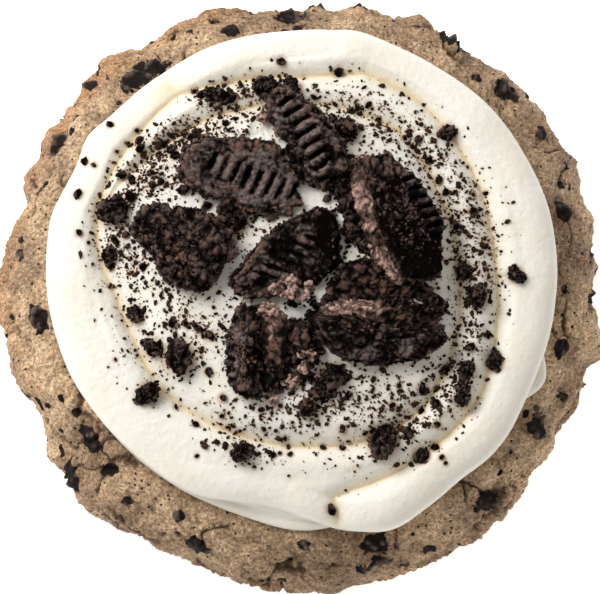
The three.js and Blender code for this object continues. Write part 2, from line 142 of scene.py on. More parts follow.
# Short creases where one coil laps over the next: a line of places on the frosting, the
# crease's depth and half width, and how far the side to its left stands above the other.
FROSTING_FOLDS = [
    ([[14.7, 33.3], [10.9, 33.2], [7.3, 33.2], [3.7, 32.7], [0.1, 32.3], [-4.2, 31.7], [-9, 30.6]],
     0.35, 0.5, 0.5),
    ([[36.3, -1.1], [35.8, 1.8], [34.7, 5], [33.9, 7.7], [32.7, 10.2], [31, 13]], 0.3, 0.45, 0.35),
    ([[-30.4, 17], [-32.2, 13.1], [-32.6, 8.7], [-31.9, 5], [-30.4, 1.4], [-28.7, -2.6]],
     0.15, 0.9, 0.1),
    ([[-20.5, 29], [-23, 25.5], [-26, 21.5]], 0.12, 0.7, 0.15),
]

# Where the frosting is clumped and torn: x, y, reach and height of the clumps.
FROSTING_CLUMPS = [[-7.5, 21.5, 3.6, 0.5], [-3.5, 19.5, 2.4, 0.5], [-12.5, 22.5, 2, 0.35],
                   [-20, 17.5, 3.5, 0.2], [8.5, 20.5, 3, 0.2]]

# Dark wafer bits baked into the biscuit: angle, distance from the middle, radius, how much
# longer they are along the rim, and how far they stand out of the dough as a share of it.
BAKED_BITS = [
    [126, 38.7, 1.9, 2.0, 0.2], [149, 42.3, 1.3, 1.3, 0.1], [105, 39.4, 1.1, 1.2, 0.2],
    [92, 40.5, 1.6, 1.6, 0.0], [59, 42.6, 1.8, 1.5, 0.45], [44, 41.3, 1.8, 1.2, 0.2],
    [33, 41.7, 1.1, 1.0, 0.2], [16, 39.9, 1.4, 1.2, 0.0], [188, 38.4, 1.8, 1.2, 0.2],
    [204, 43.4, 1.2, 1.0, 0.1], [220, 43.0, 1.9, 1.3, 0.5], [217, 38.0, 1.4, 2.0, 0.0],
    [249, 41.4, 1.8, 1.2, 0.3], [286, 39.6, 1.7, 1.2, 0.2], [310, 42.2, 2.0, 1.2, 0.4],
    [329, 40.1, 1.6, 1.0, 0.2], [346, 39.4, 1.5, 1.0, 0.2], [286, 41.9, 1.0, 2.2, 0.1],
    [358, 43.0, 0.9, 1.0, 0.2], [86, 42.8, 0.9, 2.0, 0.1], [78, 42.9, 0.8, 2.0, 0.1],
    [66, 42.0, 0.7, 1.4, 0.1], [50, 40.2, 0.8, 1.2, 0.1], [225, 38.7, 1.0, 1.3, 0.1],
    [232, 39.9, 0.8, 1.2, 0.1], [243, 38.2, 0.9, 1.0, 0.1], [296, 42.9, 0.8, 1.3, 0.1],
    [337, 42.0, 0.7, 1.2, 0.1], [7, 43.3, 0.8, 1.2, 0.1], [271, 38.3, 0.9, 1.0, 0.1],
    [116, 41.5, 0.6, 1.2, 0.1], [160, 40.0, 0.5, 1.1, 0.1], [173, 41.0, 0.5, 1.0, 0.1],
]

# Sides of the dough painted duller as shade: angle, half width, and share of the dull colour.
SHADED_SIDES = [[228, 30, 0.35], [272, 28, 0.48], [140, 16, 0.12], [92, 24, 0.42], [46, 16, 0.5]]

# The larger crumbs on the frosting: x, y and radius.
LARGE_CRUMBS = [
    [-26.9, 9.5, 2.2], [-27.4, 2.8, 1.1], [-23.6, -5.8, 1.2], [-21, -10.8, 1.2],
    [-17.2, -12.4, 2.2], [-21.8, -17.5, 1.6], [-8.1, -26.1, 1.4], [-5, 27.8, 1.4],
    [-1.2, 27.4, 1.3], [6.6, 20.9, 1.7], [21.5, 21.1, 1.1], [31.1, -0.1, 1.1],
    [25.6, -3.6, 1.5], [28.1, -12.7, 1.2], [23.9, -14.3, 1.2], [23.3, -18.2, 1.1],
    [12.1, -24.4, 2.2], [17.4, -26.3, 1.1], [4.6, -15.4, 1.9], [-12.4, 26.6, 1.3],
    [-9.6, 7.2, 1.9], [23.6, 0.6, 1.2], [3.3, -17.6, 1.3], [1.2, -19.9, 1.3], [23.4, -16.9, 0.9],
]
MEDIUM_CRUMBS = [
    [-2.7, 31.6, 0.7], [5.7, 30.1, 0.7], [2.2, 27.9, 0.4], [2.1, 26.2, 0.4], [8.4, 24.7, 0.5],
    [10, 25, 0.5], [11.4, 23, 0.4], [7.4, 24.1, 0.4], [4.7, 22.7, 0.7], [8.8, 21.5, 0.5],
    [17.2, 19.9, 0.6], [15.9, 21.2, 0.4], [15.2, 20.2, 0.4], [16.3, 18.9, 0.4], [18.7, 16.8, 0.6],
    [20.5, 17.1, 0.3], [20.2, 13.9, 0.6], [21.2, 12.1, 0.5], [22.5, 12, 0.4], [25.1, 11.7, 0.4],
    [26.9, 12.1, 0.4], [25.1, 9.1, 0.7], [23.9, 9.1, 0.3], [22.6, 7, 0.6], [26.7, 4.1, 0.5],
    [24.2, 5.8, 0.4], [21.2, 1.6, 0.4], [-18.2, -7.5, 0.7], [-14.4, -8.4, 0.6],
    [-12.9, -9.4, 0.7], [-16.3, -7.6, 0.5], [-13, -14.5, 0.6], [-11, -18.3, 0.6],
    [-14.9, -21.8, 0.5], [-11.1, -20.8, 0.4], [-5.5, -20.1, 0.4], [-4, -20.5, 0.3],
    [-2.7, -19.6, 0.3], [-5.1, -22.8, 0.4], [-2.1, -24, 0.4], [-3.7, -26.4, 0.4],
    [-2.8, -26.1, 0.3], [-1.4, -26.2, 0.4], [-6.5, -28.1, 0.3], [-14.7, -26.5, 0.3],
    [-26.4, -12.5, 0.3], [-17.7, -19.3, 0.4], [-10.3, -22.3, 0.3], [7, -17.9, 0.6],
    [10.6, -15.7, 0.4], [14.2, -16.5, 0.4], [17.6, -16.8, 0.7], [19.8, -16.5, 0.4],
    [21, -13.9, 0.8], [27.1, -8.8, 0.5], [24.5, -10.8, 0.7], [13.3, -19.3, 0.5],
    [14.2, -19.8, 0.4], [17.5, -19.9, 0.5], [19.6, -18.9, 0.6], [19.8, -22, 0.5],
    [16.4, -21.5, 0.3], [15.6, -23.3, 0.8], [19.5, -25, 0.6], [20.3, -26.6, 0.4],
    [20.9, -27.4, 0.3], [6.2, -22.8, 0.6], [6.1, -25.3, 0.4], [3.4, -25.2, 0.4],
    [9.3, -23.3, 0.3], [-23.6, 21.5, 0.4], [-23.2, 19.9, 0.6], [-23.1, 18.6, 0.7],
    [-25.1, 19.6, 0.3], [-26.5, 18.3, 0.3], [-25.6, 14.8, 0.7], [-24.2, 13.9, 0.7],
    [-24.4, 11.3, 0.8], [-29.8, 16.4, 0.4], [-31.2, 17, 0.6], [-27.5, 22.5, 0.6],
    [-32.1, 12, 0.7], [-27.1, 1.2, 0.6], [-31.8, 6.1, 0.5], [-30.4, 4.8, 0.3], [-22.5, 0.9, 0.6],
    [-23.6, 1.6, 0.4], [-26.5, 4.8, 0.6], [-25.1, 5.7, 0.6], [-24.8, 3.9, 0.4],
    [-16.7, 20.9, 0.6], [-15.7, 20.2, 0.6], [-14.7, 21.1, 0.5], [-19.6, 19.3, 0.6],
    [-18.6, 18.3, 0.7], [-17.9, 17.3, 0.7], [-16.4, 18.4, 0.6], [-21.5, 14.8, 0.6],
    [-21.3, 13, 0.6], [-20, 13.5, 0.5], [-17.5, 14.2, 0.4], [-10.7, 22.1, 0.5],
    [-9.3, 22.8, 0.4], [-7.8, 9.2, 0.6], [-13.3, 9.6, 0.7], [-8.5, 11.3, 0.4],
    [-12.9, 27.1, 0.7], [-11.1, 26.3, 0.9], [-14.3, 26.5, 0.7], [-9.7, 25.9, 0.6],
    [-15.2, 27.2, 0.5], [-8.5, 27.9, 0.4], [-6.5, 28.8, 0.4], [4.6, -34, 0.7],
]

# Where fine crumbs gather: x, y, spread along x and y, and how many.
DUST_CLOUDS = [
    [-12, 26.5, 3, 1.2, 370], [-17, 20, 2.6, 2.2, 565], [-21, 14, 2.8, 2.8, 520],
    [-25, 19, 3.5, 3, 240], [-27, 10, 3, 4, 370], [-27, 3, 3, 3.2, 275], [-22, 1, 3, 3, 235],
    [-19, -6, 4, 3.5, 290], [-14, -10, 3.5, 2.6, 275], [-22, -14, 4, 4, 160],
    [-8, -26, 3, 2, 160], [-6, -21, 5, 2, 245], [3, -18, 4, 2.4, 430], [11, -19, 5, 3, 340],
    [18, -19, 4, 4, 430], [23, -16, 2.4, 3.5, 300], [25, -7, 2.6, 4, 340], [25, 2, 2.4, 4, 390],
    [23, 9, 2.6, 4, 390], [18, 17, 3.5, 3, 390], [11, 23, 4.5, 2.6, 340], [5, 27, 6, 3, 155],
    [-6, 26, 4, 3, 190], [-10, 20, 3, 2.6, 240], [14, -24, 4, 2.6, 235], [2, 22, 3, 2, 145],
    [-8, 8, 3, 3, 265], [8, -1, 3, 3, 90], [5, 5, 3, 3, 80], [20, 24, 5, 5, 80],
    [29, 6, 3, 8, 115], [-29, 15, 3, 6, 155], [-8, -2, 2, 2, 90], [9, -28, 5, 2.5, 60],
    [0, 0, 19, 19, 650],
]

# The broken pieces of sandwich biscuit, as in the CAD part: an outline in the piece's own
# plane round `at`, whose upward side leans by `lean` degrees towards the angle `facing`.
# Where the layers broke apart, each has an outline of its own, moved by its `shift`.
# `wear_and_sheen` says how crumbly the outer face is, from 0 for moulded skin to 1 for a bare
# break. `pale` is how much lighter the face is painted, as painted light, and how much more so a
# millimetre along its plane. `bare` lists where the filling shows free of wafer crumbs, as places
# in the same plane with a reach. `scale` shrinks a layer's outline, and `rise` lowers the ridges.
PIECES = [
    {
        "name": "piece_a", "at": [-8.1, 13.6, 25.6], "lean": 16, "facing": 285, "wear_and_sheen": 0.3,
        "pale": [0.26, 0, 0],
        "outline": [
            [-8.6, 0.2], [-7.9, 3.3], [-5.9, 4.6], [-2.4, 5], [2, 4.8], [5, 4.1], [6.7, 1.8],
            [8, -0.8], [8.2, -4], [6.4, -5.7], [4, -6.5], [1.5, -5.8], [-3, -3.4], [-7.4, -2.4],
        ],
        "layers": [{"part": "wafer", "depth": 4.8}],
        "ridges": {"first": [-3, 2.7], "step": [1.65, -0.63], "along": [-0.42, -0.91],
                   "length": 3.4, "count": 7},
    },
    {
        "name": "piece_b", "at": [0.6, 18.9, 25.9], "lean": 20, "facing": 225, "wear_and_sheen": 0.35,
        "pale": [0.14, 0, 0],
        "outline": [
            [-6.2, 4.5], [-4.7, 7], [-2.8, 7.3], [-0.2, 5.6], [2, 3.3], [4.3, 0.4], [5.9, -3.9],
            [5.1, -6.2], [2.6, -7.6], [0.4, -6.8], [-0.2, -4.4], [-2.4, -1.2], [-4.4, 1],
        ],
        "layers": [{"part": "wafer", "depth": 4.2}],
        "ridges": {"first": [-3, 4.1], "step": [0.8, -1.58], "along": [0.87, 0.5],
                   "length": 3.2, "count": 7},
    },
    {
        "name": "piece_c", "at": [15.9, 7.3, 27.2], "lean": 17, "facing": 20, "wear_and_sheen": 0.8,
        "pale": [-0.08, 0, 0.03],
        "outline": [
            [-5.7, 8.6], [-2.9, 9.3], [-1, 8], [2, 4.6], [4.8, -0.2], [5.3, -3], [4.5, -7.8],
            [2, -9.4], [-0.7, -8.9], [-2.4, -6.7], [-4.4, 0], [-5.8, 5.6],
        ],
        "layers": [
            {"part": "wafer", "depth": WAFER - 0.8},
            {
                "part": "filling", "depth": FILLING - 0.6, "shift": [-2.2, 0.2],
                "bare": [[-5.6, 5.6, 2.6], [-5.8, 2.8, 2], [-5, -0.6, 1.1], [-2.6, -5.8, 1.8],
                         [-1.2, -7.9, 1.8]],
                "outline": [
                    [-0.8, 9.4], [-4.1, 9], [-5.2, 6.6], [-5, 2.6], [-3.8, -1.6], [-2.5, -4.5],
                    [-1.1, -7.1], [0.6, -9.2], [2.8, -9.4], [4.8, -7.6], [5.2, -1], [2.2, 6.3],
                ],
            },
            {
                "part": "wafer_back", "depth": WAFER - 0.8, "shift": [-4, 1.5],
                "outline": [
                    [-1.5, 8.1], [-3.3, 6.7], [-4.3, 4.3], [-4.6, 1], [-4.2, -2], [-2.9, -4.1],
                    [-1.1, -5.5], [0.9, -7.1], [3, -7.9], [5.5, -6.5], [5.5, 1.5], [2.5, 6.5],
                ],
            },
        ],
        "ridges": {"first": [-0.6, 4.6], "step": [0.68, -1.38], "along": [0.94, 0.33],
                   "length": 2.3, "count": 6},
    },
    {
        "name": "piece_d", "at": [-17.1, 3.3, 25.8], "lean": 12, "facing": 205, "wear_and_sheen": 0.85,
        "pale": [0.07, 0, 0],
        "outline": [
            [-7.7, 3.5], [-5.4, 6], [-3.1, 6.2], [-1.1, 5], [2.7, 5.3], [6.6, 1.9], [6.7, -1.7],
            [4.1, -5.8], [1.9, -7], [-2.2, -4.8], [-3.9, -2.5], [-5.5, -0.2], [-7.1, 1.3],
        ],
        "layers": [
            {"part": "wafer", "depth": WAFER},
            {"part": "filling", "depth": FILLING - 0.8, "shift": [0.7, 0.3], "scale": 0.95,
             "bare": [[7, 0.4, 2.6]]},
        ],
    },
    {
        "name": "piece_e", "at": [-1.4, 1.7, 26.2], "lean": 18, "facing": 300, "wear_and_sheen": 0.4,
        "pale": [0.05, -0.04, 0],
        "outline": [
            [-7.9, -3.2], [-5.7, -0.4], [-3, 2.6], [-0.3, 4.6], [4.2, 6.8], [6.4, 5.5], [7.5, 3.4],
            [7, -2], [4, -4.3], [0.6, -4.7], [-2.7, -6.2], [-5.6, -6.6], [-7.8, -5.4],
        ],
        "layers": [{"part": "wafer", "depth": WAFER + 0.8}],
        "ridges": {"first": [-5.4, -2.9], "step": [1.45, 1.02], "along": [0.92, -0.39],
                   "length": 2.8, "count": 6, "rise": 0.5},
    },
    {
        "name": "piece_f", "at": [-6.6, -12.4, 27.1], "lean": 44, "facing": 188, "wear_and_sheen": 0.45,
        "pale": [0.1, 0, 0],
        "ridges": {"first": [-5.9, 3.4], "step": [0.02, -1.5], "along": [1, -0.3], "length": 2.4,
                   "count": 6, "rise": 0.45},
        "layers": [
            {
                "part": "wafer", "depth": WAFER - 0.8, "shift": [-3.2, 0.2],
                "outline": [
                    [0.2, 6.7], [2.5, 6.3], [3, 3.5], [2.5, 0], [2.3, -5], [2.1, -6.7], [0.2, -6.5],
                    [-1.9, -5.7], [-2.9, -2.3], [-2.7, 0.9], [-1.6, 4],
                ],
            },
            {
                "part": "filling", "depth": FILLING, "shift": [-2.8, 0.6],
                "bare": [[-0.4, 6, 2.4], [1.4, 5.4, 1.6], [-0.2, 2.8, 1.2], [-0.8, 0.2, 0.9]],
                "outline": [
                    [-0.6, 5.9], [4.4, 5.4], [5.2, 3], [4.8, 0.4], [3.9, -2.4], [1.8, -5.6],
                    [-1.6, -5.8], [-3, -2.4], [-2.6, 1.4],
                ],
            },
            {
                "part": "wafer_back", "depth": WAFER, "shift": [-1.5, 0.4],
                "outline": [
                    [-2.1, 5], [3, 4.7], [6, 2.6], [5.8, -0.5], [3.6, -2.4], [-2.3, -4.9],
                    [-5.4, -6.1], [-6, -2.4], [-5, 1.6],
                ],
            },
        ],
    },
    {
        "name": "piece_g", "at": [12.7, -10, 27.4], "lean": 40, "facing": 282, "wear_and_sheen": 0.35,
        "pale": [-0.08, 0, 0],
        "layers": [
            {
                "part": "wafer", "depth": WAFER, "shift": [-1, -2.4],
                "outline": [
                    [-8.9, 1], [-8.5, 3.7], [-5.6, 4.2], [-2, 3.2], [1.6, 2.2], [9.3, 2.2],
                    [9.1, 0.5], [6.8, -1.4], [4.1, -2.6], [0.2, -3.1], [-3.8, -2.4], [-6.3, -1.2],
                ],
            },
            {
                "part": "filling", "depth": FILLING, "shift": [-1, -2.4],
                "bare": [[-8, 2.6, 2], [-5.4, 1.9, 2.3], [-2.4, 0.8, 2.2]],
                "outline": [
                    [-8.6, 1], [-8.3, 3.9], [-5.2, 4.7], [-0.6, 4.5], [4.6, 3.9], [9, 2.4],
                    [6.4, -1.2], [0, -2.8], [-5, -1.5],
                ],
            },
            {
                "part": "wafer_back", "depth": WAFER, "shift": [0.5, 0.8],
                "outline": [
                    [-9.3, -0.4], [-8.6, 2.6], [-6.4, 5.1], [-3.9, 6.2], [-0.7, 5.6], [4.9, 3.2],
                    [8.4, 1], [9.3, -1.6], [7.4, -4.6], [-0.5, -6.2], [-7, -4.2],
                ],
            },
        ],
    },
]

# Heaps of wafer crumbs against the pieces: x, y, spread along x and y, how many, and how far up.
CRUMB_PILES = [
    [7.5, 8.4, 1.4, 2.1, 44, 3.4], [8.9, 5.5, 1.6, 0.9, 20, 3.2], [-10.2, 8.4, 1, 1, 16, 1.6],
    [-0.2, 13.3, 0.9, 1.1, 12, 1.4], [5.8, 11.9, 1.1, 1, 20, 1.8], [2.1, -12, 1, 2, 34, 2.6],
    [-1.1, -15.8, 1.4, 0.9, 24, 1.2], [4.8, -15.8, 1.1, 1.1, 16, 1.2], [-2.4, 27.6, 1.1, 0.7, 9, 1],
    [5.8, -0.1, 0.7, 0.9, 9, 1.6], [-16.3, 12.3, 0.6, 0.9, 7, 0.8], [0.1, -3.9, 2, 0.9, 16, 2.6],
    [2.1, -7.1, 0.9, 1.7, 18, 3.6], [-4.2, -17, 1.7, 0.7, 18, 1.2],
    [-0.9, 17.2, 0.6, 1.7, 34, 3], [0.3, 14.2, 0.8, 0.9, 18, 2.8], [14.6, -4.9, 1.8, 0.6, 36, 5],
    [18, -6, 1.6, 0.7, 34, 4.4], [19.4, -4.9, 0.9, 0.7, 22, 4.4], [-4.4, -13.4, 0.9, 1.9, 40, 3.6],
    [-1.6, -13.4, 1, 1.4, 24, 2], [6.3, 11, 0.8, 1.4, 18, 2.4],
]

# Loose crumbs of filling: x, y, height above the frosting, and radius.
FILLING_CRUMBS = [
    [6.5, 15.7, 0.5, 0.8], [7.5, 15.4, 0.6, 0.7], [8.6, 15.7, 0.6, 0.9], [9.5, 15, 0.8, 0.7],
    [8.2, 14.7, 0.5, 0.6], [-5.4, -6.1, 4.2, 0.9], [-3.5, -6.7, 4.6, 0.8], [-4.5, -7.3, 4.8, 0.7],
    [-0.8, -16.3, 0.5, 0.9], [-3.4, -17.9, 0.6, 0.8], [2.6, 22.4, 1.6, 0.8],
    [-3.2, -3.3, 4.2, 1.0], [-1.6, -2.6, 4.6, 0.8], [-0.3, -3.6, 4.4, 0.9], [1.6, -3, 4.6, 0.7],
    [-2.2, -4.6, 4.4, 0.7], [0.4, -4.8, 4.6, 0.6], [-5.4, 22.9, 1.2, 0.8], [-3.4, 20.6, 1.2, 0.8],
    [-1.7, 21.6, 1.8, 0.6], [0.5, -14.2, 1.2, 0.9], [-0.9, -15.6, 1, 0.7], [1.2, -12.4, 1.6, 0.8],
    [9.2, 15.8, 1.6, 0.8], [10.9, 3.1, 2.2, 0.7], [12, 1.4, 2.2, 0.7], [13, -0.2, 2, 0.6],
]

# ---- Noise and curves, all as whole arrays ------------------------------------------------


def smooth_step(start, end, value):
    """0 before start, 1 after end, and 3t^2 - 2t^3 of the share between them."""
    t = np.clip((value - start) / (end - start), 0, 1)
    return t * t * (3 - 2 * t)


def lattice_value(i, j, k):
    """A repeatable draw between 0 and 1 for a whole-numbered place: the fraction of a wave."""
    wave = np.sin(i * 127.1 + j * 311.7 + k * 74.7) * 43758.5453
    return wave - np.floor(wave)


def noise(points):
    """Bumps between -1 and 1 about one unit apart: the draws at the eight corners of each
    point's cell, blended by smooth steps."""
    cell = np.floor(points)
    t = points - cell
    t = t * t * (3 - 2 * t)
    total = np.zeros(points.shape[:-1])
    for corner in np.ndindex(2, 2, 2):
        weight = np.prod(np.where(corner, t, 1 - t), axis=-1)
        total += weight * lattice_value(*np.moveaxis(cell + corner, -1, 0))
    return 2 * total - 1


def fractal(points, octaves=3, gain=0.5):
    """Noise plus finer and finer noise, each octave 2.1 times as fine and gain as strong."""
    total = sum(gain ** n * noise(points * 2.1 ** n + 13.7 * n) for n in range(octaves))
    return total / sum(gain ** n for n in range(octaves))


def grains(points):
    """The distance to the nearest of one random spot in each unit cell: round bumps when it is
    taken off a height, with creases where two of them meet."""
    cell = np.floor(points)
    nearest = np.full(points.shape[:-1], 9.0)
    for step in np.ndindex(3, 3, 3):
        i, j, k = np.moveaxis(cell + step - 1, -1, 0)
        spot = np.stack([i + lattice_value(i, j, k), j + lattice_value(j, k, i + 7),
                         k + lattice_value(k, i, j + 3)], axis=-1)
        nearest = np.minimum(nearest, np.linalg.norm(points - spot, axis=-1))
    return nearest


def outline_bumps(bumps, angle):
    """The sum of bell curves at a compass angle in degrees, each given as its centre, half width
    and height."""
    total = 0
    for centre, half_width, height in bumps:
        turn = (angle - centre + 540) % 360 - 180
        total = total + height * np.exp(-((turn / half_width) ** 2))
    return total


def polar(radius, angle, height):
    """Points from a distance, a compass angle in degrees and a height."""
    turn = np.radians(angle)
    return np.stack(np.broadcast_arrays(radius * np.cos(turn), radius * np.sin(turn), height), -1)


# ---- Meshes and materials -----------------------------------------------------------------


def shell_triangles(rings, columns):
    """The triangles of a closed shell: its first point, rings of columns round it, and its last
    point. Each ring joins the next one, and a fan closes each end."""
    column = np.arange(columns)
    beside = (column + 1) % columns
    first = 1 + columns * np.arange(rings - 1)[:, None]
    a, b = first + column, first + columns + column
    c, d = first + columns + beside, first + beside
    bands = np.stack([a, b, c, a, c, d], -1).reshape(-1, 3)
    end = 1 + columns * (rings - 1)
    top = np.stack([np.zeros_like(column), 1 + column, 1 + beside], -1)
    last = np.stack([end + beside, end + column, np.full_like(column, end + columns)], -1)
    return np.concatenate([top, bands, last])


def close_ends(grid):
    """A grid of rings, shaped (..., rings, columns, 3), as one list of points whose first and
    last are the middles of the first and last rings."""
    flat = grid.reshape(*grid.shape[:-3], -1, 3)
    ends = grid[..., [0, -1], :, :].mean(axis=-2)
    return np.concatenate([ends[..., :1, :], flat, ends[..., 1:, :]], axis=-2)


def close_ends_values(values):
    """The same for a grid of one value a point, shaped (..., rings, columns)."""
    return close_ends(np.repeat(values[..., None], 3, -1))[..., 0]


def add_piece(name, grid, material, slot, replaces=(), **values):
    """Makes a mesh object at the origin from one closed grid of rings in millimetres, or from
    many alike, with a value for each point under each given name."""
    grid = grid if grid.ndim == 4 else grid[None]
    count, rings, columns = grid.shape[:3]
    points = close_ends(grid)
    triangles = shell_triangles(rings, columns)
    starts = np.arange(count)[:, None, None] * points.shape[1]
    triangles = (triangles[None] + starts).reshape(-1, 3)
    mesh = bpy.data.meshes.new(name)
    mesh.vertices.add(points.shape[0] * points.shape[1])
    mesh.vertices.foreach_set("co", (points * MM).astype(np.float32).ravel())
    mesh.loops.add(triangles.size)
    mesh.loops.foreach_set("vertex_index", triangles.astype(np.int32).ravel())
    mesh.polygons.add(len(triangles))
    mesh.polygons.foreach_set("loop_start", np.arange(0, triangles.size, 3, dtype=np.int32))
    for key, value in values.items():
        value = np.broadcast_to(value, grid.shape[:3]) if np.ndim(value) < 4 else value
        attribute = mesh.attributes.new(key, "FLOAT", "POINT")
        attribute.data.foreach_set("value", close_ends_values(value).astype(np.float32).ravel())
    mesh.update(calc_edges=True)
    mesh.shade_smooth()
    if mesh.validate():
        raise RuntimeError(f"{name} has a fault in its mesh")
    piece = bpy.data.objects.new(name, mesh)
    bpy.context.scene.collection.objects.link(piece)
    mesh.materials.append(material)
    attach(piece, "root")
    if replaces:
        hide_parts(*replaces)
    return piece


def linear(colour):
    """An sRGB hex colour such as "F3EBDA" as linear red, green and blue."""
    parts = np.array([int(colour[i:i + 2], 16) for i in (0, 2, 4)]) / 255
    return tuple(np.where(parts <= 0.04045, parts / 12.92, ((parts + 0.055) / 1.055) ** 2.4))


def add_node(tree, kind, inputs=None, **settings):
    """Adds a shader node. Settings are its own. Inputs are values, colours, other nodes' outputs,
    or other nodes, of which the first output in use is joined."""
    node = tree.nodes.new("ShaderNode" + kind)
    for key, value in settings.items():
        setattr(node, key, value)
    for key, value in (inputs or {}).items():
        if isinstance(value, bpy.types.Node):
            value = next(output for output in value.outputs if output.enabled)
        if isinstance(value, bpy.types.NodeSocket):
            tree.links.new(value, node.inputs[key])
        else:
            node.inputs[key].default_value = (*value, 1) if isinstance(value, Color) else value
    return node


# The sockets of a Mix node that mixes colours. Those of a MapRange node are 1 and 2 for the
# range that goes in, and 3 and 4 for the one that comes out.
FACTOR, COLOUR_A, COLOUR_B = 0, 6, 7


def new_material(name):
    """An empty material, its node tree and its Object coordinates."""
    material = bpy.data.materials.new(name)
    material.use_nodes = True
    tree = material.node_tree
    tree.nodes.clear()
    place = add_node(tree, "TexCoord").outputs["Object"]
    return material, tree, place


def finish_material(tree, shader):
    """Joins a shader to the material's output."""
    add_node(tree, "OutputMaterial", {"Surface": shader})


def per_metre(size_mm):
    """A texture's scale for a pattern that repeats about once in size_mm."""
    return 1 / (size_mm * MM)


# ---- Biscuit ------------------------------------------------------------------------------


def biscuit_top(radius):
    """The biscuit's height: a parabola from its middle through its shoulder."""
    fall = BISCUIT_MIDDLE_HEIGHT - SHOULDER_HEIGHT
    return BISCUIT_MIDDLE_HEIGHT - fall * (radius / SHOULDER_RADIUS) ** 2


def rim_section(t):
    """The rim's place and outward direction at a share t of its section: a Catmull-Rom curve
    through the corners of RIM_SECTION, from the shoulder down to the foot."""
    last = len(RIM_SECTION) - 1
    first = np.minimum(np.floor(t * last).astype(int), last - 1)
    w = (t * last - first)[..., None]
    before, here, there, after = (
        RIM_SECTION[np.clip(first + step, 0, last)] for step in (-1, 0, 1, 2))
    start, end = (there - before) / 2, (after - here) / 2
    cubic, square = 2 * here - 2 * there + start + end, 3 * there - 3 * here - 2 * start - end
    place = ((cubic * w + square) * w + start) * w + here
    run = (3 * cubic * w + 2 * square) * w + start
    outward = np.stack([-run[..., 1], run[..., 0]], -1)
    return place, outward / np.linalg.norm(outward, axis=-1, keepdims=True)


def baked_bit_centres():
    """The middles of the baked-in wafer bits on the rim's section, and their radii."""
    bits = np.array(BAKED_BITS)
    share = np.linspace(0, 0.55, 60)
    place, _ = rim_section(share)
    reach = np.minimum(bits[:, 1], FOOT_RADIUS - 0.3 * bits[:, 2])
    height = np.interp(reach, place[:, 0], place[:, 1])
    return polar(reach, bits[:, 0], height), bits[:, 2], bits[:, 3]


def scattered_bits(count, seed):
    """Small bits for the whole rim and its side: seeded places round it and down it, and radii."""
    draw = np.random.default_rng(seed)
    place, _ = rim_section(draw.uniform(0.05, 0.95, count))
    angle = draw.uniform(0, 360, count)
    return polar(place[:, 0], angle, place[:, 1]), draw.uniform(0.15, 0.7, count)


def cocoa_stain(points, centres, radii, stretch, heights):
    """How much each point lies in a baked-in bit, from 0 to 1: the distance to each bit, less
    along the rim where it is stretched, with an edge made ragged by noise. Also gives how far
    the bits lift the surface, as smooth domes."""
    ragged = 0.45 * fractal(points / 1.1, 3) + 0.2 * noise(points / 0.35)
    stain, lift = np.zeros(points.shape[:-1]), np.zeros(points.shape[:-1])
    for centre, radius, longer, height in zip(centres, radii, stretch, heights):
        along = np.array([-centre[1], centre[0], 0]) / math.hypot(centre[0], centre[1])
        offset = points - centre
        run = offset @ along
        offset = offset - run[..., None] * along * (1 - 1 / longer)
        near = np.linalg.norm(offset, axis=-1) / radius
        stain = np.maximum(stain, smooth_step(1.25, 0.75, near + ragged))
        lift = np.maximum(lift, height * smooth_step(1.35, 0.2, near + 0.5 * ragged))
    return stain, lift


def bits_in_dough(points):
    """How much each point lies in any baked-in bit, listed or scattered, and how far they lift
    it: the listed ones by a share of their radius, the scattered ones by a tenth of it."""
    centres, radii, stretch = baked_bit_centres()
    more, more_radii = scattered_bits(SCATTERED_BITS, SCATTER_SEED)
    stand = np.array(BAKED_BITS)[:, 4]
    return cocoa_stain(points, np.concatenate([centres, more]),
                       np.concatenate([radii, more_radii]),
                       np.concatenate([stretch, np.full(len(more), 1.3)]),
                       np.concatenate([radii * (0.25 + stand), 0.1 * more_radii]))


def dough_relief(smooth, height, t, grain_height):
    """The dough's relief along its outward direction: what stands out, which is lobes with
    creases where they meet, smaller lobes on them and a crumb of small grains, and what is cut
    in, which is cracks and the fold above the foot."""
    swept = smooth + 0.8 * np.stack([noise(smooth / 3 + n) for n in (3, 31, 59)], -1)
    foot = 1 - smooth_step(0.62, 0.8, t)
    lobes = 1.1 * (0.52 - grains(swept / LOBE_SIZE)) * (0.35 + 0.65 * foot)
    small = 0.45 * (0.5 - grains(swept / SMALL_LOBE_SIZE)) * (0.4 + 0.6 * foot) \
        + 0.2 * fractal(swept / 1.3, 3)
    crumb = grain_height * (0.45 - grains(smooth / CRUMB_SIZE)) \
        + 0.4 * grain_height * noise(smooth / GRIT_SIZE)
    line = np.abs(noise(swept / 3.1 + 40) + 0.15 * noise(smooth / 0.8))
    crack = 0.8 * smooth_step(0.13, 0, line) * smooth_step(0, 0.4, noise(smooth / 6 + 80)) * foot
    above_foot = np.abs(height - FOLD_HEIGHT + 0.6 * noise(smooth / 5 + 5))
    fold = 0.5 * smooth_step(0.5, 0, above_foot / 0.9)
    fold = fold * smooth_step(0.55, 0.7, t)
    return lobes + small + crumb, crack, fold


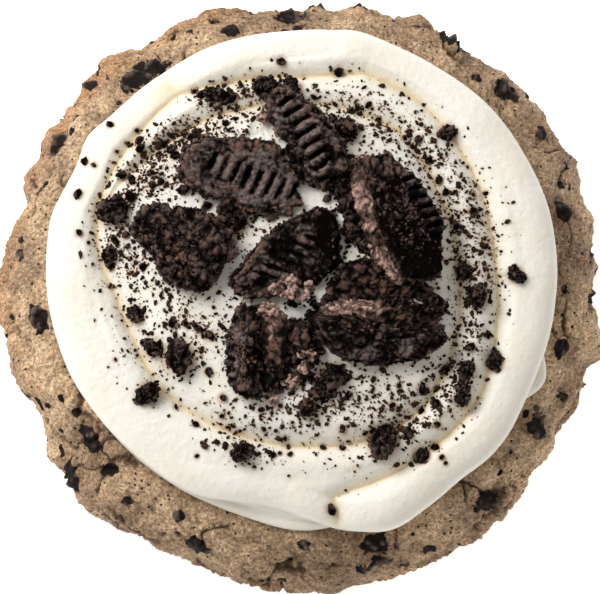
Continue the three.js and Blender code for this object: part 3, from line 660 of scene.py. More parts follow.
def biscuit_grid(columns, lump_height, grain_height):
    """The biscuit as rings from inside the frosting's edge, over the shoulder and rim, down to
    the foot and in to the middle of the base. The rim is the section turned round the middle,
    with crags added to its radius. Along its outward direction it gains lumps and the dough's
    relief. Also gives how much each point lies in a baked-in bit, and in a hollow."""
    # Where t is below 0, the rings lie on the top, top_reach millimetres of it for each unit of t.
    top_rows, rim_rows, top_reach = 16, 86, 11
    t = np.concatenate([np.linspace(-0.62, 0, top_rows, endpoint=False),
                        np.linspace(0, 1, rim_rows)])[:, None]
    angle = np.arange(columns)[None, :] * 360 / columns
    place, outward = rim_section(np.clip(t, 0, 1))
    radius, height = place[..., 0], place[..., 1]
    inner = t < 0
    radius = np.where(inner, SHOULDER_RADIUS + top_reach * t, radius)
    height = np.where(inner, biscuit_top(radius), height)
    tilt = np.where(inner, smooth_step(-0.35, 0, t) * outward[..., 0], outward[..., 0])
    rise = np.sqrt(1 - np.minimum(tilt, 1) ** 2) * np.where(outward[..., 1] < 0, -1, 1)
    crag = outline_bumps(BISCUIT_CRAGS, angle) * smooth_step(0.1, 0.5, t)
    smooth = polar(radius, angle, height)
    p = smooth / LUMP_SIZE
    strength = lump_height * smooth_step(0, 0.3, t) * (1 - smooth_step(0.8, 1, t))
    lump = strength * (0.6 * noise(p) + 0.3 * noise(p * 2 + [9, 0, 0]))
    raised, crack, fold = dough_relief(smooth, height, t, grain_height)
    stain, lift = bits_in_dough(smooth + 0.4 * lump[..., None])
    gritty = stain * (1.3 * (0.5 - grains(smooth / 1.05 + 21)) + 0.25 * noise(smooth / 0.45))
    # Under the frosting and on the base the relief fades out.
    show = smooth_step(-0.45, -0.2, t) * (1 - smooth_step(0.97, 1, t))
    push = lump + (show * (raised - crack - fold) + show * (0.75 * lift + gritty))
    grid = polar(radius + crag + tilt * push, angle, np.maximum(height + rise * push, 0))
    # How hollow each point is, with which the material paints shade into creases and cracks and a
    # highlight on the bits' high places.
    hollow = np.clip(0.5 - 0.55 * raised + 1.3 * (crack + fold) - 1.1 * gritty, 0, 1)
    base = polar(np.array([[36], [22], [8]]), angle, 0.0)
    spare = np.zeros((len(base), columns))
    return (np.concatenate([grid, base]), np.concatenate([stain, spare]),
            np.concatenate([hollow * show, spare + 0.5]))


def oven_tones(grid):
    """How toasted the dough is, and how dull, each from 0 to 1. The oven browned the
    rim most, at the back and the left. Some sides are painted duller as shade, and cocoa greyed the
    dough round the larger bits."""
    angle = np.degrees(np.arctan2(grid[..., 1], grid[..., 0])) % 360
    out = smooth_step(39.5, 43.5, np.hypot(grid[..., 0], grid[..., 1]))
    browned = 0.25 + 0.75 * np.exp(-(((angle - 140 + 540) % 360 - 180) / 55) ** 2)
    toast = np.clip(out * browned * (0.75 + 0.5 * noise(grid / 4)), 0, 1)
    # Painted shade: some sides of the dough are made duller and greyer.
    bled = np.clip(outline_bumps(SHADED_SIDES, angle) * (0.8 + 0.5 * noise(grid / 3.3)), 0, 1)
    centres, radii, stretch = baked_bit_centres()
    near_bits, _ = cocoa_stain(grid, centres, 1.8 * radii, stretch, 0 * radii)
    return toast, np.maximum(bled, np.clip(near_bits * (0.5 + 0.4 * noise(grid / 1.3)), 0, 1))


# ---- Crumbs' shape ------------------------------------------------------------------------------


def lumpy_balls(centres, radii, seeds, rings, columns, rough, stretch=0.3):
    """Crumbs: balls whose rings run from pole to pole, pushed in and out by noise and by round
    grains, a little flattened, and drawn out one way by up to `stretch`, each with its own seed.
    Shaped (crumbs, rings, columns, 3). Also gives how high each point stands on its crumb."""
    tilt = (np.arange(rings) + 0.7) / (rings + 0.4) * np.pi
    turn = np.arange(columns) / columns * 2 * np.pi
    ball = np.stack(np.broadcast_arrays(
        np.sin(tilt)[:, None] * np.cos(turn), np.sin(tilt)[:, None] * np.sin(turn),
        np.cos(tilt)[:, None]), -1)
    seeds = np.asarray(seeds, float)[:, None, None, None]
    radii = np.asarray(radii, float)[:, None, None]
    place = ball[None] + seeds * [3.17, 5.71, 7.43]
    push = 1 + rough * (0.55 * noise(place * 1.1) + 0.35 * noise(place * 2.3 + 5))
    # Only the crumbs with rings enough to show them get round grains.
    if rings > 8:
        scale = np.maximum(radii, 0.5)[..., None]
        push = push + rough * (1.3 * (0.5 - grains(place * scale / 0.75))
                               + 0.4 * noise(place * scale / 0.35)) / scale[..., 0]
    push = np.clip(push, 0.45, 1.7)
    shape = ball[None] * (radii * push)[..., None] * [1, 1, 0.8]
    spin = lattice_value(seeds, seeds + 3, seeds + 9)[..., 0] * 2 * np.pi
    x, y, z = np.moveaxis(shape, -1, 0)
    longer = 1 + stretch * np.abs(np.sin(spin * 3))
    x, y = x * longer, y / np.sqrt(longer)
    turned = np.stack([x * np.cos(spin) - y * np.sin(spin),
                       x * np.sin(spin) + y * np.cos(spin), z], -1)
    # How high each point stands on its crumb, with which the material paints shade in its hollows
    # and a highlight on its bumps.
    high = np.clip(0.5 + 1.3 * (push - push.mean(axis=(1, 2), keepdims=True)) / rough, 0, 1)
    return turned + np.asarray(centres)[:, None, None, :], high


# ---- Frosting -----------------------------------------------------------------------------


def frosting_crest(angle):
    """The distance from the frosting's middle where its edge begins to round over."""
    return FROSTING_RADIUS + outline_bumps(FROSTING_LOBES, angle) - COIL_ROUNDING


def groove_depth(radius, angle, depth):
    """How far the groove sinks the frosting: a crease with rounded shoulders on each winding of
    GROOVE_LINE, the square of the nearness to it, which fades in and out at its ends."""
    turn = (GROOVE_START_ANGLE - angle) % 360
    start, end = GROOVE_LINE[[0, -1], 0]
    drop = 0
    for wound in (turn - 360, turn, turn + 360):
        fade = smooth_step(start, start + 25, wound) * (1 - smooth_step(end - 12, end, wound))
        line = np.interp(wound, GROOVE_LINE[:, 0], GROOVE_LINE[:, 1])
        near = np.clip(1 - np.abs(radius - line) / GROOVE_REACH, 0, 1)
        drop = np.maximum(drop, depth * fade * near ** 2)
    return drop


def fold_height(x, y, line, depth, half_width, step):
    """A crease along a line of places, and a step down from its left side to its right, which
    both fade away from it and towards its ends."""
    line = np.array(line, float)
    start, run = line[:-1], np.diff(line, axis=0)
    length = np.linalg.norm(run, axis=1)
    point = np.stack([x, y], -1)[..., None, :]
    share = np.clip(((point - start) * run).sum(-1) / length ** 2, 0, 1)
    offset = point - start - share[..., None] * run
    distance = np.linalg.norm(offset, axis=-1)
    nearest = distance.argmin(-1)[..., None]
    side = np.sign(np.take_along_axis(run[:, 0] * offset[..., 1] - run[:, 1] * offset[..., 0],
                                      nearest, -1)[..., 0])
    near = np.take_along_axis(distance, nearest, -1)[..., 0]
    whole = (nearest + np.take_along_axis(share, nearest, -1))[..., 0] / len(run)
    fade = smooth_step(0, 0.2, whole) * (1 - smooth_step(0.75, 1, whole))
    crease = -depth * np.exp(-(near / half_width))
    ledge = 0.5 * step * side * (1 - np.exp(-(near / 0.25))) * np.exp(-((near / 2.4) ** 2))
    return fade * (crease + ledge)


def frosting_relief(radius, angle):
    """The frosting's fine relief: slow waves, and long streaks and soft coils that wind out with
    the nozzle, then the laps between coils, torn clumps and small marks of burst air."""
    flat = polar(radius, angle, 0) + [*FROSTING_CENTRE, 0]
    x, y = flat[..., 0], flat[..., 1]
    relief = 0.3 * fractal(flat / 8.5 + 3, 2)
    wound = radius + angle * COIL_PITCH / 360
    along = np.stack([wound / 0.8, angle / 16, np.zeros_like(radius)], -1)
    relief = relief + 0.05 * noise(along) + 0.09 * noise(along / [2.6, 1.6, 1] + 9) \
        + 0.26 * noise(along / [4.4, 2.8, 1] + 4)
    for line, depth, half_width, step in FROSTING_FOLDS:
        relief = relief + fold_height(x, y, line, depth, half_width, step)
    torn = 0
    for cx, cy, reach, height in FROSTING_CLUMPS:
        torn = torn + height * np.exp(-(((x - cx) ** 2 + (y - cy) ** 2) / reach ** 2))
    clumps = 0.9 * fractal(flat / 1.5 + 7, 3) + 0.5 * (0.5 - grains(flat / 1.1)) + 0.3
    relief = relief + torn * clumps
    spot = grains(flat / 4.3 + [0, 0, 0.5])
    return relief - 0.07 * smooth_step(0.09, 0.03, spot)


def frosting_top(radius, angle, depth):
    """The frosting's upper height: the biscuit's, plus a thickness that falls from the middle
    to the edge, less the groove."""
    fall = (FROSTING_EDGE_HEIGHT - FROSTING_MIDDLE_HEIGHT) * smooth_step(14, 34, radius)
    return biscuit_top(radius) + FROSTING_MIDDLE_HEIGHT + fall - groove_depth(radius, angle, depth)


def frosting_height(x, y, depth):
    """The height of the frosting's surface over a place, its rounded edge included."""
    dx, dy = np.asarray(x) - FROSTING_CENTRE[0], np.asarray(y) - FROSTING_CENTRE[1]
    radius, angle = np.hypot(dx, dy), np.degrees(np.arctan2(dy, dx)) % 360
    crest = frosting_crest(angle)
    inner = np.minimum(radius, crest)
    over = np.clip((radius - crest) / COIL_ROUNDING, 0, 0.98)
    rounded = COIL_FLATNESS * COIL_ROUNDING * (1 - np.sqrt(1 - over ** 2))
    return frosting_top(inner, angle, depth) + frosting_relief(inner, angle) - rounded


def frosting_grid(columns, depth):
    """The frosting as rings from its middle out to the crest, over its rounded edge, which is an
    elliptic arc, round the lower coil and in under it. Also gives how much painted shade each
    point gets: how deep in a groove it lies, fading over the edge, and a fixed share on the lower
    coil and underneath."""
    angle = np.arange(columns)[None, :] * 360 / columns
    crest = frosting_crest(angle)
    share = np.concatenate([np.linspace(0.04, 0.5, 14), np.linspace(0.5, 1, 78)[1:]])[:, None]
    radius = crest * share
    angles = np.broadcast_to(angle, radius.shape)
    relief = frosting_relief(radius, angles)
    top = polar(radius, angles, frosting_top(radius, angles, depth) + relief)
    sunk = groove_depth(radius, angles, 1)
    bend = np.radians(np.linspace(0, EDGE_BEND, 25)[1:])[:, None]
    rim_relief = relief[-1:] * np.cos(bend / 2) + 0.12 * noise(
        np.stack(np.broadcast_arrays(angle / 7, bend * 1.2, 0.5), -1))
    out = crest + (COIL_ROUNDING + rim_relief) * np.sin(bend)
    down = frosting_top(crest, angle, depth) - COIL_FLATNESS * COIL_ROUNDING * (1 - np.cos(bend)) \
        + rim_relief * np.cos(bend)
    edge = polar(out, angle, down)
    rest = biscuit_top(SHOULDER_RADIUS) + GAP
    curl = np.radians(np.linspace(95, -90, 14))[:, None]
    wave = 0.12 * noise(np.stack(np.broadcast_arrays(angle / 9, curl, 2.5), -1))
    lower = LOWER_COIL_RADIUS + outline_bumps(LOWER_COIL_LOBES, angle) - LOWER_COIL_ROUNDING
    coil = polar(lower + (LOWER_COIL_ROUNDING + wave) * np.cos(curl), angle,
                 rest + 0.6 + (1.0 + wave) * np.sin(curl))
    under = polar(np.array([[31], [16], [4]]), angle, FROSTING_UNDERSIDE)
    grid = np.concatenate([top, edge, coil, under]) + [*FROSTING_CENTRE, 0]
    # Painted shade: the groove's depth, fading over the edge, and a fixed share on the lower coil
    # and underneath.
    dark = np.concatenate([sunk, np.repeat(sunk[-1:], len(edge), 0) * np.cos(bend / 2),
                           np.full((len(coil) + len(under), columns), 0.35)])
    return grid, dark


def crumb_halo(grid, seed, amount):
    """How much cocoa each point of the frosting drew out of the crumbs, from 0 to 1: a soft ring
    round each listed crumb, and the fine crumbs' sizes added up cell by cell and blurred. It
    fades out down the frosting's side."""
    x, y = grid[..., 0], grid[..., 1]
    halo = np.zeros_like(x)
    for cx, cy, radius in LARGE_CRUMBS + MEDIUM_CRUMBS:
        away = np.hypot(x - cx, y - cy) / (1.15 * radius + 0.12)
        halo = np.maximum(halo, 0.6 * np.exp(-np.maximum(away - 0.7, 0) ** 2 * 7))
    fine_x, fine_y, fine_radius = dust(seed, amount)
    cells = int(2 * STAIN_REACH / STAIN_CELL)
    stain = np.histogram2d(fine_x, fine_y, bins=cells, range=[[-STAIN_REACH, STAIN_REACH]] * 2,
                           weights=fine_radius ** 1.5)[0]
    for axis in (0, 1, 0, 1):
        stain = (np.roll(stain, 1, axis) + 2 * stain + np.roll(stain, -1, axis)) / 4
    i, j = (np.clip(((value + STAIN_REACH) / STAIN_CELL).astype(int), 0, cells - 1)
            for value in (x, y))
    halo = np.maximum(halo, np.clip(stain[i, j] * 7, 0, 0.34))
    return halo * smooth_step(17.5, 19, grid[..., 2])


# ---- Broken pieces of sandwich biscuit ------------------------------------------------------


def broken_outline(outline, seed, columns):
    """A piece's outline with one more corner on every side, all knocked in or out by noise, then
    sampled at even steps with its corners rounded and its sides made ragged."""
    corners = np.array(outline, float)
    corners = np.stack([corners, (corners + np.roll(corners, -1, 0)) / 2], 1).reshape(-1, 2)
    where = np.stack([corners[:, 0] * 1.7 + seed, corners[:, 1] * 1.7,
                      np.full(len(corners), float(seed))], -1)
    corners = corners * (1 + BREAK_ROUGHNESS * noise(where))[:, None]
    closed = np.concatenate([corners, corners[:1]])
    run = np.concatenate([[0], np.cumsum(np.linalg.norm(np.diff(closed, axis=0), axis=1))])
    at = np.arange(columns) * run[-1] / columns
    line = np.stack([np.interp(at, run, closed[:, axis]) for axis in (0, 1)], -1)
    for _ in range(6):
        line = (np.roll(line, 1, 0) + 2 * line + np.roll(line, -1, 0)) / 4
    return line


def ridge_height(u, v, ridges, height):
    """The moulded ridges on a wafer's face: a rounded crest along each one's middle and a narrow
    crease halfway to the next, fading out at both ends and beyond the outer two."""
    if not ridges:
        return np.zeros_like(u)
    along = np.array(ridges["along"], float)
    along = along / np.linalg.norm(along)
    step, count = np.array(ridges["step"]), ridges["count"]
    half_pitch = abs(step[0] * along[1] - step[1] * along[0]) / 2
    nearest, shown = np.full_like(u, 9.0), np.zeros_like(u)
    for index in range(count):
        length = ridges["length"] * (1 - 0.35 * abs(2 * index / (count - 1) - 1) ** 2)
        du = u - ridges["first"][0] - index * step[0]
        dv = v - ridges["first"][1] - index * step[1]
        ahead = du * along[0] + dv * along[1]
        aside = np.abs(du * along[1] - dv * along[0]) / half_pitch
        ends = smooth_step(-0.6, 0.4, ahead) * smooth_step(length + 0.6, length - 0.4, ahead)
        closer = aside < nearest
        shown = np.where(closer, ends, shown)
        nearest = np.minimum(nearest, aside)
    crest = 1 - 2.1 * smooth_step(0.22, 0.88, nearest)
    return height * ridges.get("rise", 1) * crest * smooth_step(1.6, 1.05, nearest) * shown


def turn_from_plane(piece, points):
    """Points of a piece's own plane, turned by the shortest way from +Z to its leaned upward
    side and moved to its place."""
    lean, facing = math.radians(piece["lean"]), math.radians(piece["facing"])
    upward = Vector((math.sin(lean) * math.cos(facing), math.sin(lean) * math.sin(facing),
                     math.cos(lean)))
    turn = np.array(Vector((0, 0, 1)).rotation_difference(upward).to_matrix())
    return points @ turn.T + piece["at"]


def layer_section(depth, face_rings):
    """A layer's section, ring by ring from the middle of its outer face, over a rounded edge,
    down its side and in under it: how far each ring lies in from the outline and down from the
    face, the share of the outline that it spans, and how much it faces out and up."""
    bevel = min(WAFER_BEVEL, depth / 3)
    side_rings, base_rings = max(8, int(depth / SIDE_RING_STEP)), 8
    face, side, base = np.zeros(face_rings), np.zeros(side_rings), np.zeros(base_rings)
    bend = np.radians(np.linspace(0, 90, 9))[1:]
    inset = np.concatenate([
        face + bevel, bevel * (1 - np.sin(bend)), side, bevel * (1 - np.cos(bend)), base + bevel])
    fall = np.concatenate([
        face, bevel * (1 - np.cos(bend)), np.linspace(bevel, depth - bevel, side_rings),
        depth - bevel * (1 - np.sin(bend)), base + depth])
    share = np.ones_like(inset)
    share[:face_rings] = np.linspace(0.02, 1, face_rings)
    share[-base_rings:] = np.linspace(1, 0.05, base_rings)
    out = np.concatenate([face, np.sin(bend), side + 1, np.cos(bend), base])
    up = np.concatenate([face + 1, np.cos(bend), side, -np.sin(bend), base - 1])
    return [row[:, None] for row in (inset, fall, share, out, up)]


def bareness(u, v, place, spots):
    """How free of wafer crumbs a filling is, from 0 to 1: near each spot, given as its place in
    the piece's plane and a reach, with an edge made ragged by noise."""
    bare = np.zeros_like(u)
    for spot_u, spot_v, reach in spots:
        away = np.hypot(u - spot_u, v - spot_v) / reach + 0.35 * noise(place / 0.9)
        bare = np.maximum(bare, smooth_step(1.15, 0.8, away))
    return bare


def break_relief(place, swept, bare):
    """The rubble of a break: pebbles with creases between them, smaller ones and slow waves.
    Where a filling is bare it is smeared instead, with grains of one size."""
    pebbles = 0.75 * (0.5 - grains(swept / PEBBLE_SIZE)) \
        + 0.5 * (0.5 - grains(swept / SMALL_PEBBLE_SIZE))
    rubble = 1.25 * pebbles + 0.16 * noise(place / 0.3) + 0.4 * fractal(place / 2.1, 2)
    if bare.any():
        smeared = 0.8 * (0.5 - grains(swept / SMEAR_GRAIN_SIZE)) + 0.22 * noise(place / 0.33) \
            + 0.6 * fractal(place / 1.9, 2)
        rubble = rubble + bare * (smeared - rubble)
    return rubble


def layer_grid(piece, layer, top, columns, face_rings, ridge_rise):
    """One layer of a piece as rings, each the outline drawn in towards its middle. Noise and
    round grains push the surface about, a little on moulded skin and a lot on a break. Also gives
    how broken each point is, how high it stands, and how bare its filling is."""
    outer, depth = layer["part"] == "wafer", layer["depth"]
    corners = layer.get("outline") or piece["outline"]
    outline = broken_outline(corners, depth, columns) * layer.get("scale", 1)
    reach = np.linalg.norm(outline, axis=1)
    inset, fall, share, facing_out, facing_up = layer_section(depth, face_rings)
    plane = outline * ((1 - inset / reach) * share)[..., None]
    u, v = np.moveaxis(plane + np.array(layer.get("shift", [0, 0]), float), -1, 0)
    height = top - fall + np.zeros_like(u)
    # Each piece lies in a part of the noise of its own.
    place = np.stack([u, v, height], -1) + 17 * (ord(piece["name"][-1]) - ord("a") + 1)
    swept = place + 0.45 * np.stack([noise(place / 1.5 + n) for n in (5, 43, 71)], -1)

    # Broken everywhere but on the outer face, where only its rim and crumbly patches are.
    wear_and_sheen = piece["wear_and_sheen"] if outer else 1
    patchy = smooth_step(0.25, -0.15, 0.6 * noise(place / 2.4) + 1 - 1.9 * wear_and_sheen)
    from_edge = reach * (1 - share) + inset
    rim = smooth_step(1.7, 0.6, from_edge + 0.9 * noise(place / 1.2))
    broken = np.where(facing_up > 0.5, np.maximum(patchy, rim), 1.0)
    ridges = np.zeros_like(u)
    if outer:
        ridges = ridge_height(u, v, piece.get("ridges"), ridge_rise) * (facing_up > 0)
        ridges = ridges * (1 + 0.5 * noise(place / 0.55))
    broken = broken * (1 - 0.7 * smooth_step(0.05, 0.3, np.abs(ridges) / ridge_rise))

    bare = bareness(u, v, place, layer.get("bare", []))
    rubble = break_relief(place, swept, bare)
    moulded = 0.3 * (0.5 - grains(swept / SKIN_GRAIN_SIZE)) + 0.12 * noise(place / 0.33) \
        + 0.24 * noise(place / 2.9)
    push = moulded * (1 - broken) + rubble * broken * (0.6 + 0.4 * facing_out) + ridges
    outward = outline / reach[:, None]
    moved = np.stack([
        u + outward[:, 0] * facing_out * push, v + outward[:, 1] * facing_out * push,
        height + facing_up * push], -1)

    # Painted light and shade: what stands out is painted lighter, less the slow waves, creases
    # between ridges are painted dark, and `pale` paints upward faces lighter.
    stands = 1.7 * moulded * (1 - broken) + 0.85 * (rubble - 0.3 * fractal(place / 2.1, 2)) * broken
    ridged = 0.35 * ridges + 0.7 * np.minimum(ridges, 0)
    # Painted light: upward faces are made lighter by `pale`, and more so a millimetre along the
    # plane.
    pale = piece["pale"] if outer else INNER_PALE
    pale = (pale[0] + pale[1] * u + pale[2] * v) * (facing_up > 0.3)
    high = np.clip(0.44 + 1.15 * stands + ridged + pale, 0, 1)
    return turn_from_plane(piece, moved), broken, high, bare


def stuck_crumbs(grids, count, seed):
    """Places and radii for small crumbs that cling to broken surfaces: seeded draws among the
    grids' own points, more often where they are broken, and none underneath."""
    draw = np.random.default_rng(seed)
    places = np.concatenate([grid[:-10].reshape(-1, 3) for grid, _ in grids])
    chances = np.concatenate([(broken[:-10] ** 2 + 0.04).ravel() for _, broken in grids])
    chosen = draw.choice(len(places), count, replace=False, p=chances / chances.sum())
    radii = np.clip(np.exp(draw.normal(-1.5, 0.42, count)), 0.1, 0.5)
    return places[chosen], radii


# ---- Crumbs ---------------------------------------------------------------------------------


def dust(seed, amount):
    """Places and radii of the fine crumbs: seeded draws round each cloud's middle, bell-shaped
    along x and y, and radii whose logarithm is bell-shaped, so most are tiny. Fewer lie on the
    outer coil, and none past its crest."""
    draw = np.random.default_rng(seed)
    clouds = np.array(DUST_CLOUDS)
    counts = (clouds[:, 4] * amount).astype(int)
    middle = np.repeat(clouds[:, :4], counts, axis=0)
    spread = draw.normal(size=(len(middle), 2))
    x, y = middle[:, 0] + spread[:, 0] * middle[:, 2], middle[:, 1] + spread[:, 1] * middle[:, 3]
    radius = np.clip(np.exp(draw.normal(-2.12, 0.52, len(x))), 0.04, 0.45)
    distance = np.hypot(x - FROSTING_CENTRE[0], y - FROSTING_CENTRE[1])
    angle = np.degrees(np.arctan2(y, x)) % 360
    keep = distance < frosting_crest(angle) - 0.5
    keep &= draw.uniform(size=len(x)) < np.where(distance > 29, 0.45, 1)
    return x[keep], y[keep], radius[keep]


def crumb_piles(seed):
    """The heaped crumbs as rows of x, y, radius and height above the frosting: seeded draws round
    each heap's middle, smaller and lower the farther out they lie."""
    draw = np.random.default_rng(seed + 1)
    heaps = np.array(CRUMB_PILES)
    middle = np.repeat(heaps, heaps[:, 4].astype(int), axis=0)
    spread = draw.normal(size=(len(middle), 2))
    out = np.hypot(*spread.T)
    radius = np.clip(np.exp(draw.normal(-0.75, 0.42, len(middle))), 0.22, 1.15)
    radius = radius * np.clip(1.15 - 0.25 * out, 0.4, 1)
    up = middle[:, 5] * draw.uniform(0, 1, len(middle)) * np.clip(1 - out / 2.2, 0.05, 1)
    x, y = middle[:, 0] + spread[:, 0] * middle[:, 2], middle[:, 1] + spread[:, 1] * middle[:, 3]
    return np.stack([x, y, radius, up + 0.3 * radius])


def lying_crumbs(crumbs):
    """Listed crumbs as such rows: each lies on the frosting, a little sunk into it."""
    x, y, radius = np.array(crumbs).T
    return np.stack([x, y, radius, 0.4 * radius])


def filling_clumps(seed):
    """The loose filling as such rows: each listed crumb is a clump of three, set a little apart
    and made smaller by seeded draws."""
    x, y, up, radius = np.repeat(np.array(FILLING_CRUMBS), 3, axis=0).T
    draw = np.random.default_rng(seed + 4)
    x, y = x + draw.normal(0, 0.45, len(x)), y + draw.normal(0, 0.45, len(x))
    return np.stack([x, y, radius * draw.uniform(0.35, 0.85, len(x)), up])


def dust_tone(radius, seed):
    """How warm the fine crumbs are, from 0 to 1: a seeded draw, squared so that most are dark,
    warmer for the finest, which the frosting soaks, and darker for the largest."""
    tone = np.random.default_rng(seed).uniform(size=len(radius)) ** 2
    tone = tone * (1 - 0.8 * smooth_step(0.13, 0.26, radius))
    return np.clip(tone + 0.5 * smooth_step(0.14, 0.06, radius), 0, 1)[:, None, None]


# ---- Materials --------------------------------------------------------------------------------


def baked_dough(look):
    """Butter cookie dough, baked: a matt, slightly translucent crumb of sugar and flour, tan where
    it browned and greyer where cocoa soaked into it, painted duller on some sides and darker in its
    creases as shade, with black cocoa specks and near-black wafer bits that show through the
    surface, painted lighter on their high places as a highlight."""
    material, tree, place = new_material("baked_cookie_dough")
    fine = add_node(tree, "TexNoise", {"Vector": place, "Scale": per_metre(0.42), "Detail": 3.0,
                                       "Roughness": 0.8})
    patches = add_node(tree, "TexNoise", {"Vector": place, "Scale": per_metre(11), "Detail": 3.0})
    patch = add_node(tree, "MapRange", {"Value": patches, 1: 0.4, 2: 0.6})
    base = add_node(tree, "Mix", {FACTOR: patch, COLOUR_A: look.dough, COLOUR_B: look.dough_grey},
                    data_type="RGBA")
    toast = add_node(tree, "Attribute", attribute_name="toast").outputs["Fac"]
    toasted = add_node(tree, "Mix", {FACTOR: toast, COLOUR_A: base, COLOUR_B: look.dough_toasted},
                       data_type="RGBA")
    # Painted shade on some sides, and the grey of cocoa round the larger bits, both mix the dough
    # to its dull colour.
    bled = add_node(tree, "Attribute", attribute_name="bled").outputs["Fac"]
    dulled = add_node(tree, "Mix", {FACTOR: bled, COLOUR_A: toasted, COLOUR_B: look.dough_bled},
                      data_type="RGBA")
    grain = add_node(tree, "MapRange", {"Value": fine, 1: 0.34, 2: 0.66, 3: 0.52, 4: 1.5})
    grained = add_node(tree, "VectorMath", {0: dulled, "Scale": grain}, operation="SCALE")
    # Grains of sugar and flour, each of its own lightness. Real ones are 0.2 mm: too fine to show.
    sugar = add_node(tree, "TexVoronoi", {"Vector": place, "Scale": per_metre(0.36)})
    light = add_node(tree, "SeparateColor", {0: sugar.outputs["Color"]})
    lightness = add_node(tree, "MapRange", {"Value": light, 3: 0.7, 4: 1.38})
    sugared = add_node(tree, "VectorMath", {0: grained, "Scale": lightness}, operation="SCALE")
    # Painted shade: down in the dough's creases, cracks and hollows it is mixed towards the dark
    # crease colour.
    hollow = add_node(tree, "Attribute", attribute_name="hollow").outputs["Fac"]
    sunk = add_node(tree, "MapRange", {"Value": hollow, 1: 0.58, 2: 1.0, 3: 0.0, 4: 0.9})
    creased = add_node(tree, "Mix", {FACTOR: sunk, COLOUR_A: sugared, COLOUR_B: look.dough_crease},
                       data_type="RGBA")
    # Cocoa specks of up to 0.4 mm, one to every millimetre, most of them smaller or missing.
    spots = add_node(tree, "TexVoronoi", {"Vector": place, "Scale": per_metre(0.95)})
    draw = add_node(tree, "SeparateColor", {0: spots.outputs["Color"]})
    size = add_node(tree, "Math", {0: draw, 1: 0.2, 2: spots.outputs["Distance"]},
                    operation="MULTIPLY_ADD")
    speck = add_node(tree, "MapRange", {"Value": size, 1: 0.27, 2: 0.19})
    smudges = add_node(tree, "TexNoise", {"Vector": place, "Scale": per_metre(1.7), "Detail": 3.0,
                                          "Roughness": 0.65, "Distortion": 0.6})
    smudge = add_node(tree, "MapRange", {"Value": smudges, 1: 0.62, 2: 0.74, 4: 0.7})
    dots = add_node(tree, "Math", {0: speck, 1: smudge}, operation="MAXIMUM")
    # The wafer bits, with their edge made crisp and ragged, and painted lighter as a highlight
    # where they stand proud.
    stain = add_node(tree, "Attribute", attribute_name="cocoa").outputs["Fac"]
    ragged = add_node(tree, "Math", {0: fine, 1: 0.9, 2: stain}, operation="MULTIPLY_ADD")
    crisp = add_node(tree, "MapRange", {"Value": ragged, 1: 0.84, 2: 1.02})
    dark = add_node(tree, "Math", {0: dots, 1: crisp}, operation="MAXIMUM", use_clamp=True)
    proud = add_node(tree, "MapRange", {"Value": hollow, 1: 0.46, 2: 0.08})
    wafer = add_node(tree, "Mix", {FACTOR: proud, COLOUR_A: look.baked_bit,
                                   COLOUR_B: look.baked_crest}, data_type="RGBA")
    colour = add_node(tree, "Mix", {FACTOR: dark, COLOUR_A: creased, COLOUR_B: wafer},
                      data_type="RGBA")
    # Grit of about 0.4 mm, bumped by as much, so that it shows from straight above.
    bump = add_node(tree, "Bump", {"Height": fine, "Distance": 0.4 * MM, "Strength": 1.0})
    shader = add_node(tree, "BsdfPrincipled", {
        "Base Color": colour, "Roughness": 0.6, "IOR": 1.45, "Specular IOR Level": 0.28,
        "Subsurface Weight": 0.12, "Subsurface Radius": (1, 0.6, 0.35),
        "Subsurface Scale": 0.6 * MM, "Normal": bump})
    finish_material(tree, shader)
    return material


def whipped_frosting(look):
    """Cream cheese frosting, piped: smooth, fatty and translucent, white on its crests, painted
    warmer, yellower and darker down in the creases and a little on the lower coil as shade, and
    warmer round the crumbs, where fat has drawn out their cocoa."""
    material, tree, place = new_material("piped_cream_frosting")
    slow = add_node(tree, "TexNoise", {"Vector": place, "Scale": per_metre(9), "Detail": 2.0})
    drift = add_node(tree, "MapRange", {"Value": slow, 1: 0.35, 2: 0.65, 4: 0.16})
    # Painted shade: in the grooves, and a little on the lower coil, the frosting is mixed towards
    # its darker, yellower groove colour.
    groove = add_node(tree, "Attribute", attribute_name="groove").outputs["Fac"]
    warm = add_node(tree, "Math", {0: groove, 1: drift}, operation="ADD", use_clamp=True)
    base = add_node(tree, "Mix", {FACTOR: warm, COLOUR_A: look.frosting,
                                  COLOUR_B: look.frosting_groove}, data_type="RGBA")
    halo = add_node(tree, "Attribute", attribute_name="halo").outputs["Fac"]
    colour = add_node(tree, "Mix", {FACTOR: halo, COLOUR_A: base, COLOUR_B: look.frosting_halo},
                      data_type="RGBA")
    beads = add_node(tree, "TexNoise", {"Vector": place, "Scale": per_metre(1.1), "Detail": 4.0,
                                        "Roughness": 0.6})
    bump = add_node(tree, "Bump", {"Height": beads, "Distance": 0.3 * MM, "Strength": 0.8})
    shader = add_node(tree, "BsdfPrincipled", {
        "Base Color": colour, "Roughness": 0.42, "IOR": 1.45, "Specular IOR Level": 0.35,
        "Subsurface Weight": 0.45, "Subsurface Radius": (1, 0.92, 0.75),
        "Subsurface Scale": 1.4 * MM, "Normal": bump})
    finish_material(tree, shader)
    return material


